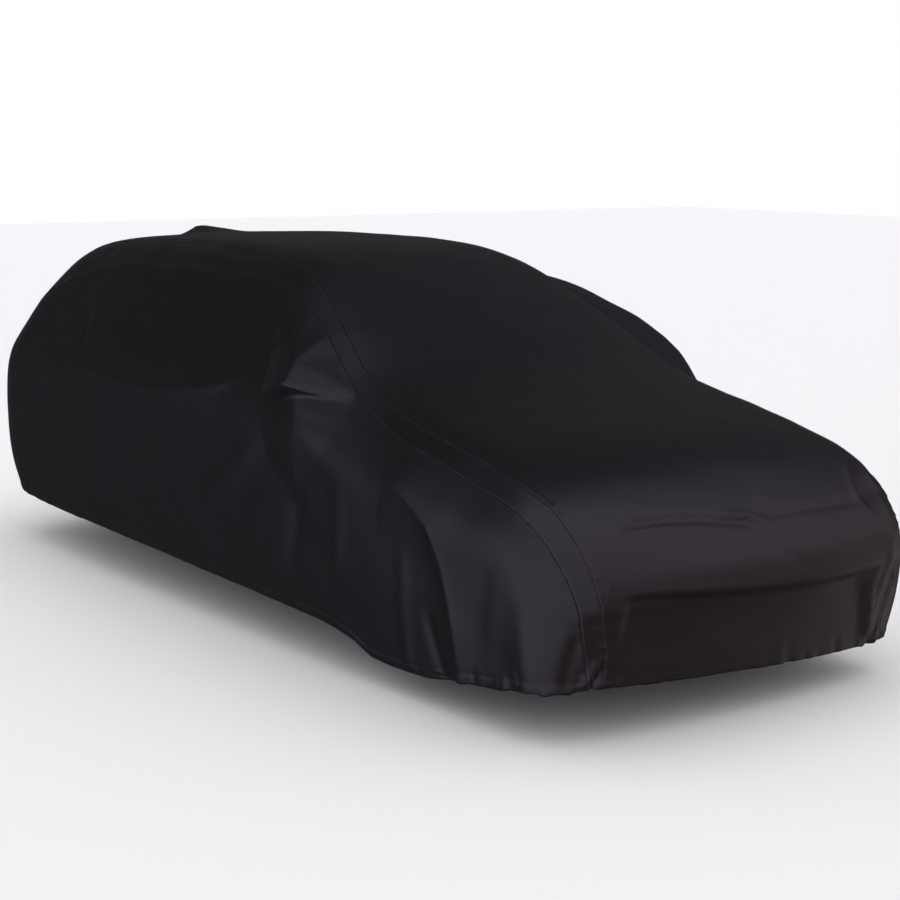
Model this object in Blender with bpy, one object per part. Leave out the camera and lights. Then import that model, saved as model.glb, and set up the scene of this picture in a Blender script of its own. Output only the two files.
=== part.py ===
"""Fitted cover of stretch cloth for a compact hatchback shape, as it hangs when it is on.

Five sewn panels, each a 2 mm sheet with its hem turned in: a centre panel from the rear hem over
the roof to the front hem, a narrow strip along each side of it, and a side panel below each strip.
The outer face is worked out from four faces (top, flanks, nose, tail), whose sizes stand in the
short tables below, and which round into each other. Tables and sizes are in metres: x runs forward
from the middle, y to the left, z up from the ground. At the end everything is moved so that the
origin lies under the highest point of the roof.
"""
import math

import bmesh
import bpy
import numpy as np

# Cloth
CLOTH = 0.002          # thickness of the sheet
SEAM_GAP = 0.0003      # between two panels along a seam
HEM_ROLL = 0.010       # how far the hem rolls in and down before it turns level
HEM_TURN = 0.042       # how far the turned hem reaches in

# Where the origin lies in the tables' frame
PEAK_X = -0.40

# Centreline of the top, and how much lower the top is at CROWN_AT to either side
CROWN_AT = 0.60
CROWN_POWER = 2.2
TOP = (  # x, height, drop
    (-2.40, 1.270, 0.030), (-1.95, 1.365, 0.030), (-1.60, 1.418, 0.035), (-1.20, 1.447, 0.035),
    (-0.80, 1.462, 0.034), (-0.40, 1.465, 0.032), (0.00, 1.452, 0.035), (0.22, 1.415, 0.045),
    (0.50, 1.300, 0.060), (0.80, 1.160, 0.070), (1.00, 1.070, 0.060), (1.20, 1.005, 0.045),
    (1.40, 0.955, 0.035), (1.60, 0.915, 0.035), (1.80, 0.865, 0.040), (1.95, 0.810, 0.045),
    (2.05, 0.755, 0.050), (2.15, 0.680, 0.060), (2.30, 0.550, 0.080),
)
# Flanks: half width amidships, and how much narrower they are at the tail
FLANK = (  # height, half width, drawn in at the tail
    (0.05, 0.835, 0.050), (0.20, 0.862, 0.050), (0.35, 0.882, 0.050), (0.55, 0.892, 0.050),
    (0.75, 0.893, 0.050), (0.88, 0.880, 0.050), (0.95, 0.855, 0.055), (1.05, 0.800, 0.060),
    (1.20, 0.705, 0.070), (1.33, 0.622, 0.080), (1.42, 0.550, 0.090), (1.60, 0.420, 0.100),
)
NOSE_TAPER = 0.06      # how much narrower the flanks are at the nose
# Nose and tail on the centreline; both curve back towards the corners
NOSE = (  # height, x
    (0.00, 2.090), (0.17, 2.110), (0.30, 2.120), (0.40, 2.135), (0.465, 2.170), (0.52, 2.170),
    (0.62, 2.140), (0.70, 2.100), (0.80, 2.020), (1.00, 1.800),
)
TAIL = (  # height, x
    (0.00, -2.140), (0.20, -2.200), (0.35, -2.270), (0.55, -2.305), (0.75, -2.295), (0.90, -2.245),
    (1.05, -2.145), (1.20, -2.045), (1.32, -1.975), (1.45, -1.870), (1.60, -1.770),
)
CORNER_AT = 0.80       # half width at which NOSE_SWEEP and TAIL_SWEEP are reached
NOSE_SWEEP = 0.09
TAIL_SWEEP = 0.13
# How widely the faces round into each other
EDGE_TOP_ENDS = 0.17
EDGE_ROOF = 0.16
EDGE_BONNET = 0.26
EDGE_FRONT_CORNER = 0.19
EDGE_REAR_CORNER = 0.27
EDGE_REAR_ROOF = 0.20   # the rear corners near the roof
EDGE_FRONT_FOOT = 0.10  # the front corners near the hem

# Height of the hem above the ground, and how much it drops across the nose
HEM = (  # x, height
    (-2.40, 0.235), (-1.90, 0.228), (-1.60, 0.218), (-1.20, 0.219), (-0.80, 0.215), (-0.40, 0.209),
    (0.10, 0.197), (0.50, 0.190), (0.90, 0.172), (1.02, 0.150), (1.12, 0.113), (1.25, 0.108),
    (1.40, 0.112), (1.55, 0.130), (1.70, 0.150), (1.85, 0.160), (2.00, 0.165), (2.30, 0.162),
)
HEM_TILT = -0.045      # height of the nose hem per metre to the left

# Rays that the long panels follow from the rear hem to the front hem: foot, angle (0 forward, 90 up)
# and the half widths of the inner and the outer seam there
RUN = (  # foot x, foot z, angle, inner seam, outer seam
    (-1.55, 0.235, 180.0, 0.550, 0.670), (-1.55, 0.360, 180.0, 0.550, 0.675),
    (-1.55, 0.500, 178.0, 0.550, 0.680), (-1.55, 0.600, 168.0, 0.540, 0.685),
    (-1.55, 0.620, 145.0, 0.520, 0.690), (-1.55, 0.620, 122.0, 0.480, 0.680),
    (-1.55, 0.620, 104.0, 0.450, 0.650), (-1.20, 0.620, 90.0, 0.440, 0.615),
    (-0.60, 0.620, 90.0, 0.440, 0.605), (0.00, 0.620, 90.0, 0.495, 0.600),
    (0.30, 0.620, 90.0, 0.540, 0.617), (0.50, 0.610, 90.0, 0.590, 0.650),
    (0.64, 0.600, 90.0, 0.625, 0.683), (0.80, 0.580, 90.0, 0.662, 0.722),
    (1.00, 0.550, 90.0, 0.700, 0.765), (1.30, 0.500, 90.0, 0.720, 0.795),
    (1.45, 0.450, 76.0, 0.722, 0.795), (1.50, 0.420, 55.0, 0.720, 0.790),
    (1.50, 0.420, 35.0, 0.700, 0.780), (1.50, 0.400, 12.0, 0.675, 0.745),
    (1.50, 0.300, 0.0, 0.618, 0.690), (1.50, 0.165, 0.0, 0.608, 0.670),
)

# Tents that the cloth makes over what stands out beneath it. The tip is a small flat, the rise falls
# off over its own length in each direction, and the upper fall of the pockets leans back.
TENTS = {  # along, across, half along, half across, rise, fall back, ahead, below, above, lean, power
    "pocket_right": (0.670, 1.060, 0.060, 0.040, 0.130, 0.20, 0.24, 0.34, 0.38, 0.9, 1.20),
    "pocket_left": (0.690, 1.115, 0.085, 0.030, 0.165, 0.30, 0.24, 0.34, 0.42, 1.4, 0.95),
    "aerial": (-1.620, 0.000, 0.015, 0.012, 0.042, 0.13, 0.42, 0.10, 0.10, 0.0, 1.60),
}
SEAM_HOLD = 0.04       # how far beyond the outer seam the pockets reach their full rise
# Troughs just inside the front edge of each front arch, where the cloth is drawn in
ARCH_X, ARCH_Z = 1.28, 0.20
ARCH_LONG, ARCH_HIGH = 0.38, 0.55
ARCH_DEPTH = {-1: 0.016, 1: 0.013}
ARCH_WIDTH = 0.30      # share of the arch's radius over which the trough runs out
# Slack folds pressed into the flanks: side, start x, start z, end x, end z, half width, depth
FOLDS = (
    (-1, -1.30, 0.900, 0.10, 0.850, 0.050, 0.010),
    (-1, 0.10, 0.850, 0.50, 0.960, 0.060, 0.008),
    (1, -1.20, 0.870, 0.30, 0.880, 0.055, 0.009),
    (-1, -1.45, 1.150, -1.30, 0.600, 0.060, 0.007),
    (1, -1.50, 1.100, -1.25, 0.550, 0.060, 0.007),
)

# Grid of the sheets
RUN_ROWS = 66          # steps from the rear hem to the front hem
CENTRE_COLUMNS = 8
STRIP_COLUMNS = 2
SHOULDER_REAR = 15     # step at which a side panel's rear edge turns into its upper edge
SHOULDER_FRONT = 51    # the same at the front, as many steps from the end
EVENING_ROUNDS = 60

COLOURS = {
    "centre_panel": (0.012, 0.011, 0.013, 1.0),
    "strip": (0.016, 0.015, 0.018, 1.0),
    "side_panel": (0.011, 0.010, 0.012, 1.0),
}


def curve(table, at, column=1):
    """A smooth line through one column of a table, without overshoot, level past its ends."""
    knots = np.array([row[0] for row in table])
    values = np.array([row[column] for row in table])
    slope = np.gradient(values, knots)
    steps = np.diff(values) / np.diff(knots)
    for i in range(1, len(knots) - 1):
        steepest = 2.5 * min(abs(steps[i - 1]), abs(steps[i]))
        slope[i] = np.clip(slope[i], -steepest, steepest) if steps[i - 1] * steps[i] > 0 else 0.0
    at = np.clip(at, knots[0], knots[-1])
    i = np.clip(np.searchsorted(knots, at, side="right") - 1, 0, len(knots) - 2)
    width = knots[i + 1] - knots[i]
    t = (at - knots[i]) / width
    ends = values[i] * (2 * t**3 - 3 * t**2 + 1) + values[i + 1] * (3 * t**2 - 2 * t**3)
    bends = slope[i] * (t**3 - 2 * t**2 + t) + slope[i + 1] * (t**3 - t**2)
    return ends + width * bends


def ramp(value, low, high):
    """0 below low, 1 above high, smooth between."""
    t = np.clip((value - low) / (high - low), 0.0, 1.0)
    return t * t * (3 - 2 * t)


def rounded_max(a, b, width):
    """The larger of two distances, with the edge between their faces rounded off."""
    near = np.maximum(width - np.abs(a - b), 0.0) / width
    return np.maximum(a, b) + near * near * width / 4


def depth(points):
    """Distance outside the fitted form, below zero inside it."""
    x, y, z = points[..., 0], np.abs(points[..., 1]), points[..., 2]
    slope = (curve(TOP, x + 0.02) - curve(TOP, x - 0.02)) / 0.04
    top = curve(TOP, x) - curve(TOP, x, 2) * (y / CROWN_AT) ** CROWN_POWER
    above = (z - top) / np.sqrt(1 + slope**2)
    half = curve(FLANK, z) - curve(FLANK, z, 2) * ramp(-x, 0.9, 2.4) - NOSE_TAPER * ramp(x, 1.0, 2.4)
    beside = y - half
    sweep = (y / CORNER_AT) ** 2.4
    ahead = x - (curve(NOSE, z) - NOSE_SWEEP * sweep)
    behind = curve(TAIL, z) + TAIL_SWEEP * sweep - x
    edge = EDGE_ROOF + (EDGE_BONNET - EDGE_ROOF) * ramp(x, 0.5, 1.3)
    front = EDGE_FRONT_FOOT + (EDGE_FRONT_CORNER - EDGE_FRONT_FOOT) * ramp(z, 0.25, 0.55)
    edge = edge + (front - edge) * ramp(x, 1.6, 1.95)
    rear = EDGE_REAR_CORNER + (EDGE_REAR_ROOF - EDGE_REAR_CORNER) * ramp(z, 0.95, 1.15)
    edge = edge + (rear - edge) * ramp(-x, 1.6, 1.95)
    lengthwise = rounded_max(above, np.maximum(ahead, behind), EDGE_TOP_ENDS)
    return rounded_max(lengthwise, beside, edge)


def outward(points, step=0.0002):
    """Gradient of depth."""
    found = np.empty_like(points)
    for axis in range(3):
        shift = np.zeros(3)
        shift[axis] = step
        found[..., axis] = (depth(points + shift) - depth(points - shift)) / (2 * step)
    return found


def unit(vectors):
    return vectors / np.linalg.norm(vectors, axis=-1, keepdims=True)


def onto_form(points, rounds):
    """Moves points along the gradient until they lie on the form."""
    for _ in range(rounds):
        gradient = outward(points)
        size = np.maximum((gradient**2).sum(-1), 0.05)
        points = points - gradient * (depth(points) / size)[..., None]
    return points


def cast(feet, directions):
    """Where rays from inside leave the form."""
    near = np.zeros(feet.shape[:-1])
    far = np.full(feet.shape[:-1], 1.8)
    for _ in range(36):
        middle = (near + far) / 2
        inside = depth(feet + directions * middle[..., None]) < 0
        near = np.where(inside, middle, near)
        far = np.where(inside, far, middle)
    return feet + directions * near[..., None]


def long_line(across, side):
    """One line of the long panels, rear hem to front hem. across is 0 on the centreline, 1 on the
    inner seam and 2 on the outer seam; side is -1 on the right and 1 on the left."""
    along = np.linspace(0.0, 1.0, RUN_ROWS + 1)
    rows = [(i / (len(RUN) - 1), *row) for i, row in enumerate(RUN)]
    foot_x, foot_z, angle, inner, outer = (curve(rows, along, c) for c in range(1, 6))
    y = side * (inner * across if across <= 1 else inner + (outer - inner) * (across - 1))
    foot_z = foot_z + HEM_TILT * y * ramp(along, 0.92, 1.0)
    angle = np.radians(angle)
    feet = np.stack([foot_x, y, foot_z], -1)
    return cast(feet, np.stack([np.cos(angle), 0 * angle, np.sin(angle)], -1))


def hem_line(start, end, side, count):
    """The side hem from the outer seam at the rear to the outer seam at the front, in plan around
    two corner posts and straight between them."""
    rear_x, front_x, post_y, reach = -1.55, 1.45, 0.30, 0.62
    first = math.atan2(abs(start[1]) - post_y, start[0] - rear_x)
    last = math.atan2(abs(end[1]) - post_y, end[0] - front_x)
    arc_rear = (first - math.pi / 2) * reach
    arc_front = (math.pi / 2 - last) * reach
    straight = front_x - rear_x
    run = np.linspace(0.0, arc_rear + straight + arc_front, count)
    on_straight = np.clip(run - arc_rear, 0.0, straight)
    turned = np.where(run < arc_rear, first - run / reach, math.pi / 2)
    turned = np.where(run > arc_rear + straight, math.pi / 2 - (run - arc_rear - straight) / reach, turned)
    foot_x = rear_x + on_straight
    height = curve(HEM, foot_x + reach * np.cos(turned))
    height = height + HEM_TILT * side * CROWN_AT * ramp(foot_x + reach * np.cos(turned), 1.7, 2.0)
    feet = np.stack([foot_x, np.full(count, side * post_y), height], -1)
    line = cast(feet, np.stack([np.cos(turned), side * np.sin(turned), 0 * turned], -1))
    line[0], line[-1] = start, end
    return line


def side_sheet(seam, side):
    """Grid of a side panel, hem row first. Its edges are the hem and the outer seam; between them it
    starts as a blend of the four edges and is evened out on the form."""
    rear = seam[: SHOULDER_REAR + 1]
    upper = seam[SHOULDER_REAR : SHOULDER_FRONT + 1]
    front = seam[SHOULDER_FRONT:][::-1]
    hem = hem_line(seam[0], seam[-1], side, len(upper))
    up = np.linspace(0.0, 1.0, len(rear))[:, None, None]
    on = np.linspace(0.0, 1.0, len(upper))[None, :, None]
    sheet = (1 - up) * hem + up * upper + (1 - on) * rear[:, None] + on * front[:, None]
    sheet -= (1 - up) * ((1 - on) * hem[0] + on * hem[-1]) + up * ((1 - on) * upper[0] + on * upper[-1])
    for turn in range(EVENING_ROUNDS):
        around = sheet[:-2, 1:-1] + sheet[2:, 1:-1] + sheet[1:-1, :-2] + sheet[1:-1, 2:]
        sheet[1:-1, 1:-1] = around / 4
        if turn % 5 == 4:
            sheet[1:-1, 1:-1] = onto_form(sheet[1:-1, 1:-1], 2)
    sheet[1:-1, 1:-1] = onto_form(sheet[1:-1, 1:-1], 4)
    return sheet


def tent(along, across, name):
    """How far the cloth stands out at a point of a tent."""
    tip, level, half_along, half_across, rise, back, ahead, below, above, lean, power = TENTS[name]
    over = np.maximum(across - level, 0.0)
    along = along + lean * over
    off_along = np.maximum(np.abs(along - tip) - half_along, 0.0) / np.where(along < tip, back, ahead)
    off_across = np.maximum(np.abs(across - level) - half_across, 0.0) / np.where(across < level, below, above)
    off = np.sqrt(off_along**2 + off_across**2 + 0.0004)
    return rise * np.clip(1 - off, 0.0, 1.0) ** power


def fold_depth(x, z, side):
    """How far the arches' troughs and the slack folds press the flank in."""
    out = np.sqrt(((x - ARCH_X) / ARCH_LONG) ** 2 + ((z - ARCH_Z) / ARCH_HIGH) ** 2)
    inside = np.clip((1 - out) / ARCH_WIDTH, 0.0, 1.0)
    pressed = ARCH_DEPTH[side] * 6.75 * inside * (1 - inside) ** 2 * ramp(x, 1.02, 1.28)
    for fold_side, x0, z0, x1, z1, half, deep in FOLDS:
        if fold_side == side:
            reach = np.array([x1 - x0, z1 - z0])
            share = ((x - x0) * reach[0] + (z - z0) * reach[1]) / (reach @ reach)
            held = np.clip(share, 0.0, 1.0)
            off = np.hypot(x - x0 - held * reach[0], z - z0 - held * reach[1])
            pressed = pressed + deep * np.exp(-((off / half) ** 2)) * ramp(share, -0.1, 0.3) * ramp(-share, -1.1, -0.7)
    return pressed


def dressed(points, side):
    """The form's points with the tents and folds of the cloth added."""
    x, y, z = points[..., 0], points[..., 1], points[..., 2]
    seam = curve([(row[0], row[4]) for row in RUN if row[2] == 90.0], x)
    flank = ramp(np.abs(y) - seam, 0.0, SEAM_HOLD)
    pocket = tent(x, z, "pocket_right" if side < 0 else "pocket_left")
    pressed = fold_depth(x, z, side) * ramp(np.abs(y), 0.74, 0.84)
    moved = points.copy()
    moved[..., 1] += side * (pocket * flank - pressed)
    moved[..., 2] += tent(x, y, "aerial") * (z > 1.2)
    return moved


def with_hem(sheet, normals, ends):
    """Adds the hem's two rows at the first and, if ends is 2, at the last row of a grid."""
    for _ in range(ends):
        level = unit(normals[0] * np.array([1.0, 1.0, 0.0]))
        down = np.array([0.0, 0.0, -1.0])
        roll = sheet[0] - level * HEM_ROLL + down * HEM_ROLL
        turn = sheet[0] - level * HEM_TURN + down * HEM_ROLL
        roll_normal = unit(level + 1.5 * down)
        turn_normal = np.broadcast_to(down, level.shape)
        normals = np.concatenate([[turn_normal, roll_normal], normals])
        sheet = np.concatenate([[turn, roll], sheet])
        if ends == 2:
            sheet, normals = sheet[::-1], normals[::-1]
    return sheet, normals


def pulled_back(sheet, normals, edges):
    """Draws a grid's seam edges back by half the gap between panels, square to the seam."""
    drawn = sheet.copy()
    for edge, inner in edges:
        square = unit(np.cross(normals[edge], np.gradient(sheet[edge], axis=0)))
        inward = np.sign(((sheet[inner] - sheet[edge]) * square).sum())
        drawn[edge] = sheet[edge] + inward * square * SEAM_GAP / 2
    return drawn


def panel(name, sheet, normals, colour, flip):
    """One panel as a closed solid: outer face, inner face and the rim between them."""
    rows, columns = sheet.shape[:2]
    mesh = bmesh.new()
    layers = [[mesh.verts.new(p) for p in face.reshape(-1, 3)] for face in (sheet, sheet - CLOTH * normals)]

    def face(*corners):
        mesh.faces.new(corners[::-1] if flip else corners)

    for i in range(rows - 1):
        for j in range(columns - 1):
            a, b = i * columns + j, i * columns + j + 1
            c, d = b + columns, a + columns
            outer, inner = layers
            face(outer[a], outer[b], outer[c])
            face(outer[a], outer[c], outer[d])
            face(inner[c], inner[b], inner[a])
            face(inner[d], inner[c], inner[a])
    rim = list(range(columns))
    rim += [i * columns + columns - 1 for i in range(1, rows)]
    rim += [(rows - 1) * columns + j for j in range(columns - 2, -1, -1)]
    rim += [i * columns for i in range(rows - 2, 0, -1)]
    for a, b in zip(rim, rim[1:] + rim[:1]):
        face(layers[0][b], layers[0][a], layers[1][a])
        face(layers[0][b], layers[1][a], layers[1][b])
    data = bpy.data.meshes.new(name)
    mesh.to_mesh(data)
    mesh.free()
    data.shade_smooth()
    data.set_sharp_from_angle(angle=math.radians(40))
    data.materials.append(material(name, colour))
    made = bpy.data.objects.new(name, data)
    bpy.context.scene.collection.objects.link(made)


def material(name, colour):
    made = bpy.data.materials.new(name)
    made.use_nodes = True
    shader = made.node_tree.nodes["Principled BSDF"]
    shader.inputs["Base Color"].default_value = colour
    shader.inputs["Roughness"].default_value = 0.42
    shader.inputs["Metallic"].default_value = 0.0
    return made


def long_sheet(start, stop, columns, side):
    """Grid of a long panel between two places across, rear hem to front hem."""
    lines = []
    for across in np.linspace(start, stop, columns + 1):
        of_side = side or (-1 if across < 0 else 1)
        lines.append(long_line(abs(across), of_side))
    return np.stack(lines, axis=1)


def place(sheet):
    """From the tables' frame to the part's own, with its origin under the roof's cloth."""
    peak = curve(TOP, np.array([PEAK_X]))[0]
    return sheet - np.array([PEAK_X, 0.0, peak - CLOTH])


def add_panel(name, sheet, colour, hem_ends, edges, flip):
    """Dresses a grid of the form, turns its hem in and makes the solid."""
    normals = unit(outward(sheet))
    sheet = np.where(sheet[..., 1:2] < 0, dressed(sheet, -1), dressed(sheet, 1))
    sheet, normals = with_hem(sheet, normals, hem_ends)
    panel(name, place(pulled_back(sheet, normals, edges)), normals, COLOURS[colour], flip)


def main():
    for old in list(bpy.data.objects):
        bpy.data.objects.remove(old)
    first = (slice(None), 0), (slice(None), 1)
    last = (slice(None), -1), (slice(None), -2)
    centre = long_sheet(-1, 1, CENTRE_COLUMNS, 0)
    add_panel("centre_panel", centre, "centre_panel", 2, (first, last), True)
    for side, label in ((-1, "right"), (1, "left")):
        strip = long_sheet(1, 2, STRIP_COLUMNS, side)
        add_panel("strip_" + label, strip, "strip", 2, (first, last), side > 0)
        sheet = side_sheet(strip[:, -1].copy(), side)
        edges = first, last, ((-1, slice(None)), (-2, slice(None)))
        add_panel("side_panel_" + label, sheet, "side_panel", 1, edges, side > 0)


main()
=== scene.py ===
"""Looks of the fitted stretch-satin cover: five sewn cloth panels, their stitching and the stage.

The cloth follows the same form as its solids, on a finer grid, with the creases, tension folds,
seam puckers and gathered hem that the solids are too coarse to show. Tables and sizes are in
metres: x runs forward from the middle, y to the left, z up from the ground. At the end every
grid is moved so that the origin lies under the highest point of the roof, as the solids are.
"""
import math

import bpy
import numpy as np
from bpy.props import FloatProperty, FloatVectorProperty, PointerProperty
from mathutils import Matrix


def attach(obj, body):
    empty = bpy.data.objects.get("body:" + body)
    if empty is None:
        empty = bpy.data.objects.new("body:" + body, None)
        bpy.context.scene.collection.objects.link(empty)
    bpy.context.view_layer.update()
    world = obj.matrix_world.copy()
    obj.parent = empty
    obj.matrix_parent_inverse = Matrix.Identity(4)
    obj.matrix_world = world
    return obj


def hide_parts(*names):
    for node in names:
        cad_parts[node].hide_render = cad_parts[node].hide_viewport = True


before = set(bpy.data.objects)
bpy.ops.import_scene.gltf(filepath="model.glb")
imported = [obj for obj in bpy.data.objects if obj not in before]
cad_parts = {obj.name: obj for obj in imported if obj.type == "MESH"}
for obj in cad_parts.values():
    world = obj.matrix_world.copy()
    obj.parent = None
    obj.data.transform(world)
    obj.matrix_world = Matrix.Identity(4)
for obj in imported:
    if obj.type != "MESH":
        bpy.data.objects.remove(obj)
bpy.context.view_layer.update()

bl_info = {
    "name": "Stretch cover",
    "version": (1, 0, 0),
    "blender": (4, 5, 0),
    "location": "View3D > Sidebar > Cover",
    "description": "Makes the panels, the stitching and the stage of a fitted stretch-satin cover",
    "category": "Object",
}

# Cloth
CLOTH = 0.002
HEM_ROLL = 0.010                        # radius at which the hem is rolled over
HEM_SWINGS = (25.0, 50.0, 75.0, 90.0)   # angles of the rows of the roll
HEM_REACHES = (0.020, 0.031, 0.042)     # how far in the rows of the turned-in hem lie

# Form, as in the solids. Only the nose is finer here: its lip rises and falls, and theirs is level.
PEAK_X = -0.40
CROWN_AT = 0.60
CROWN_POWER = 2.2
TOP = (  # x, height, drop
    (-2.40, 1.270, 0.030), (-1.95, 1.365, 0.030), (-1.60, 1.418, 0.035), (-1.20, 1.447, 0.035),
    (-0.80, 1.462, 0.034), (-0.40, 1.465, 0.032), (0.00, 1.452, 0.035), (0.22, 1.415, 0.045),
    (0.50, 1.300, 0.060), (0.80, 1.160, 0.070), (1.00, 1.070, 0.060), (1.20, 1.005, 0.045),
    (1.40, 0.955, 0.035), (1.60, 0.915, 0.035), (1.80, 0.865, 0.040), (1.95, 0.810, 0.045),
    (2.05, 0.755, 0.050), (2.15, 0.680, 0.060), (2.30, 0.550, 0.080),
)
FLANK = (  # height, half width, drawn in at the tail
    (0.05, 0.835, 0.050), (0.20, 0.862, 0.050), (0.35, 0.882, 0.050), (0.55, 0.892, 0.050),
    (0.75, 0.893, 0.050), (0.88, 0.880, 0.050), (0.95, 0.855, 0.055), (1.05, 0.800, 0.060),
    (1.20, 0.705, 0.070), (1.33, 0.622, 0.080), (1.42, 0.550, 0.090), (1.60, 0.420, 0.100),
)
NOSE_TAPER = 0.06
NOSE = (  # height, x
    (0.00, 2.080), (0.17, 2.108), (0.30, 2.134), (0.40, 2.156), (0.465, 2.170), (0.52, 2.170),
    (0.62, 2.140), (0.70, 2.100), (0.80, 2.020), (1.00, 1.800),
)
TAIL = (  # height, x
    (0.00, -2.140), (0.20, -2.200), (0.35, -2.270), (0.55, -2.305), (0.75, -2.295), (0.90, -2.245),
    (1.05, -2.145), (1.20, -2.045), (1.32, -1.975), (1.45, -1.870), (1.60, -1.770),
)
LIP = (  # y, height of the lip of the nose, below which the cloth falls back
    (-0.60, 0.490), (-0.53, 0.490), (-0.34, 0.480), (-0.03, 0.452), (0.16, 0.440), (0.43, 0.433),
    (0.60, 0.440),
)
LIP_FALL = 0.016
LIP_STEP = 0.0, 0.024        # depths below the lip between which the cloth falls back
LIP_RETURN = 0.06, 0.32      # depths between which it comes forward again
LIP_END_Y = 0.53, 0.60       # distances from the middle between which the lip runs out
CORNER_AT = 0.80
NOSE_SWEEP = 0.09
TAIL_SWEEP = 0.13
SWEEP_POWER = 2.4
SLOPE_STEP = 0.02            # half the run over which the slope of the top is measured
TAIL_TAPER_X = 0.9, 2.4      # distances behind the middle between which the flank is drawn in
NOSE_TAPER_X = 1.0, 2.4      # the same ahead of it
BONNET_EDGE_X = 0.5, 1.3     # the roof's edge turns into the bonnet's
CORNER_EDGE_X = 1.6, 1.95    # the long edges turn into those of the corners, front and rear
FRONT_EDGE_Z = 0.25, 0.55    # the front corner's edge turns from its foot's into its own
REAR_EDGE_Z = 0.95, 1.15     # the rear corner's edge turns into the roof's
EDGE_TOP_ENDS = 0.17
EDGE_ROOF = 0.16
EDGE_BONNET = 0.26
EDGE_FRONT_CORNER = 0.19
EDGE_REAR_CORNER = 0.27
EDGE_REAR_ROOF = 0.20
EDGE_FRONT_FOOT = 0.10
HEM = (  # x, height
    (-2.40, 0.235), (-1.90, 0.228), (-1.60, 0.218), (-1.20, 0.219), (-0.80, 0.215), (-0.40, 0.209),
    (0.10, 0.197), (0.50, 0.190), (0.90, 0.172), (1.02, 0.150), (1.12, 0.113), (1.25, 0.108),
    (1.40, 0.112), (1.55, 0.130), (1.70, 0.150), (1.85, 0.160), (2.00, 0.165), (2.30, 0.162),
)
HEM_TILT = -0.045            # rise of the front hem per metre to the left
HEM_TILT_X = 1.7, 2.0
HEM_TILT_SHARE = 0.92, 1.0   # the same range as shares of the run
HEM_TILT_Y = 0.60            # distance from the middle whose tilt a side panel's hem takes
HEM_POST_REAR, HEM_POST_FRONT, HEM_POST_Y, HEM_REACH = -1.55, 1.45, 0.30, 0.62
RUN = (  # foot x, foot z, angle, inner seam, outer seam
    (-1.55, 0.235, 180.0, 0.550, 0.670), (-1.55, 0.360, 180.0, 0.550, 0.675),
    (-1.55, 0.500, 178.0, 0.550, 0.680), (-1.55, 0.600, 168.0, 0.540, 0.685),
    (-1.55, 0.620, 145.0, 0.520, 0.690), (-1.55, 0.620, 122.0, 0.480, 0.680),
    (-1.55, 0.620, 104.0, 0.450, 0.650), (-1.20, 0.620, 90.0, 0.440, 0.615),
    (-0.60, 0.620, 90.0, 0.440, 0.605), (0.00, 0.620, 90.0, 0.495, 0.600),
    (0.30, 0.620, 90.0, 0.540, 0.617), (0.50, 0.610, 90.0, 0.590, 0.650),
    (0.64, 0.600, 90.0, 0.625, 0.683), (0.80, 0.580, 90.0, 0.662, 0.722),
    (1.00, 0.550, 90.0, 0.700, 0.765), (1.30, 0.500, 90.0, 0.720, 0.795),
    (1.45, 0.450, 76.0, 0.722, 0.795), (1.50, 0.420, 55.0, 0.720, 0.790),
    (1.50, 0.420, 35.0, 0.700, 0.780), (1.50, 0.400, 12.0, 0.675, 0.745),
    (1.50, 0.300, 0.0, 0.618, 0.690), (1.50, 0.165, 0.0, 0.608, 0.670),
)
TENTS = {  # along, across, half along, half across, rise, fall back, ahead, below, above, lean, power
    "pocket": (0.690, 1.115, 0.085, 0.030, 0.165, 0.30, 0.24, 0.34, 0.42, 1.4, 0.95),
    "roof": (-1.620, 0.000, 0.015, 0.012, 0.042, 0.13, 0.42, 0.10, 0.10, 0.0, 1.60),
}
ROOF_OVER = 1.2              # the roof's tent is only on the cloth above this height
TENT_ROUNDING = 0.02         # of a tent's tip, as a share of its spread
SEAM_HOLD = 0.02             # distance from the seam over which a pocket runs out

# The band inside the front arch where the cloth is drawn in
ARCH_X, ARCH_Z = 1.28, 0.20
ARCH_LONG, ARCH_HIGH = 0.345, 0.55
ARCH_DEPTH = 0.004
ARCH_WIDTH = 0.55            # of the band, as a share of the way to the arch's middle
ARCH_START_X = 1.02, 1.28    # the band starts over this range
ARCH_FLANK_Y = 0.74, 0.84    # and is only on the flank, beyond this distance from the middle

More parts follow.
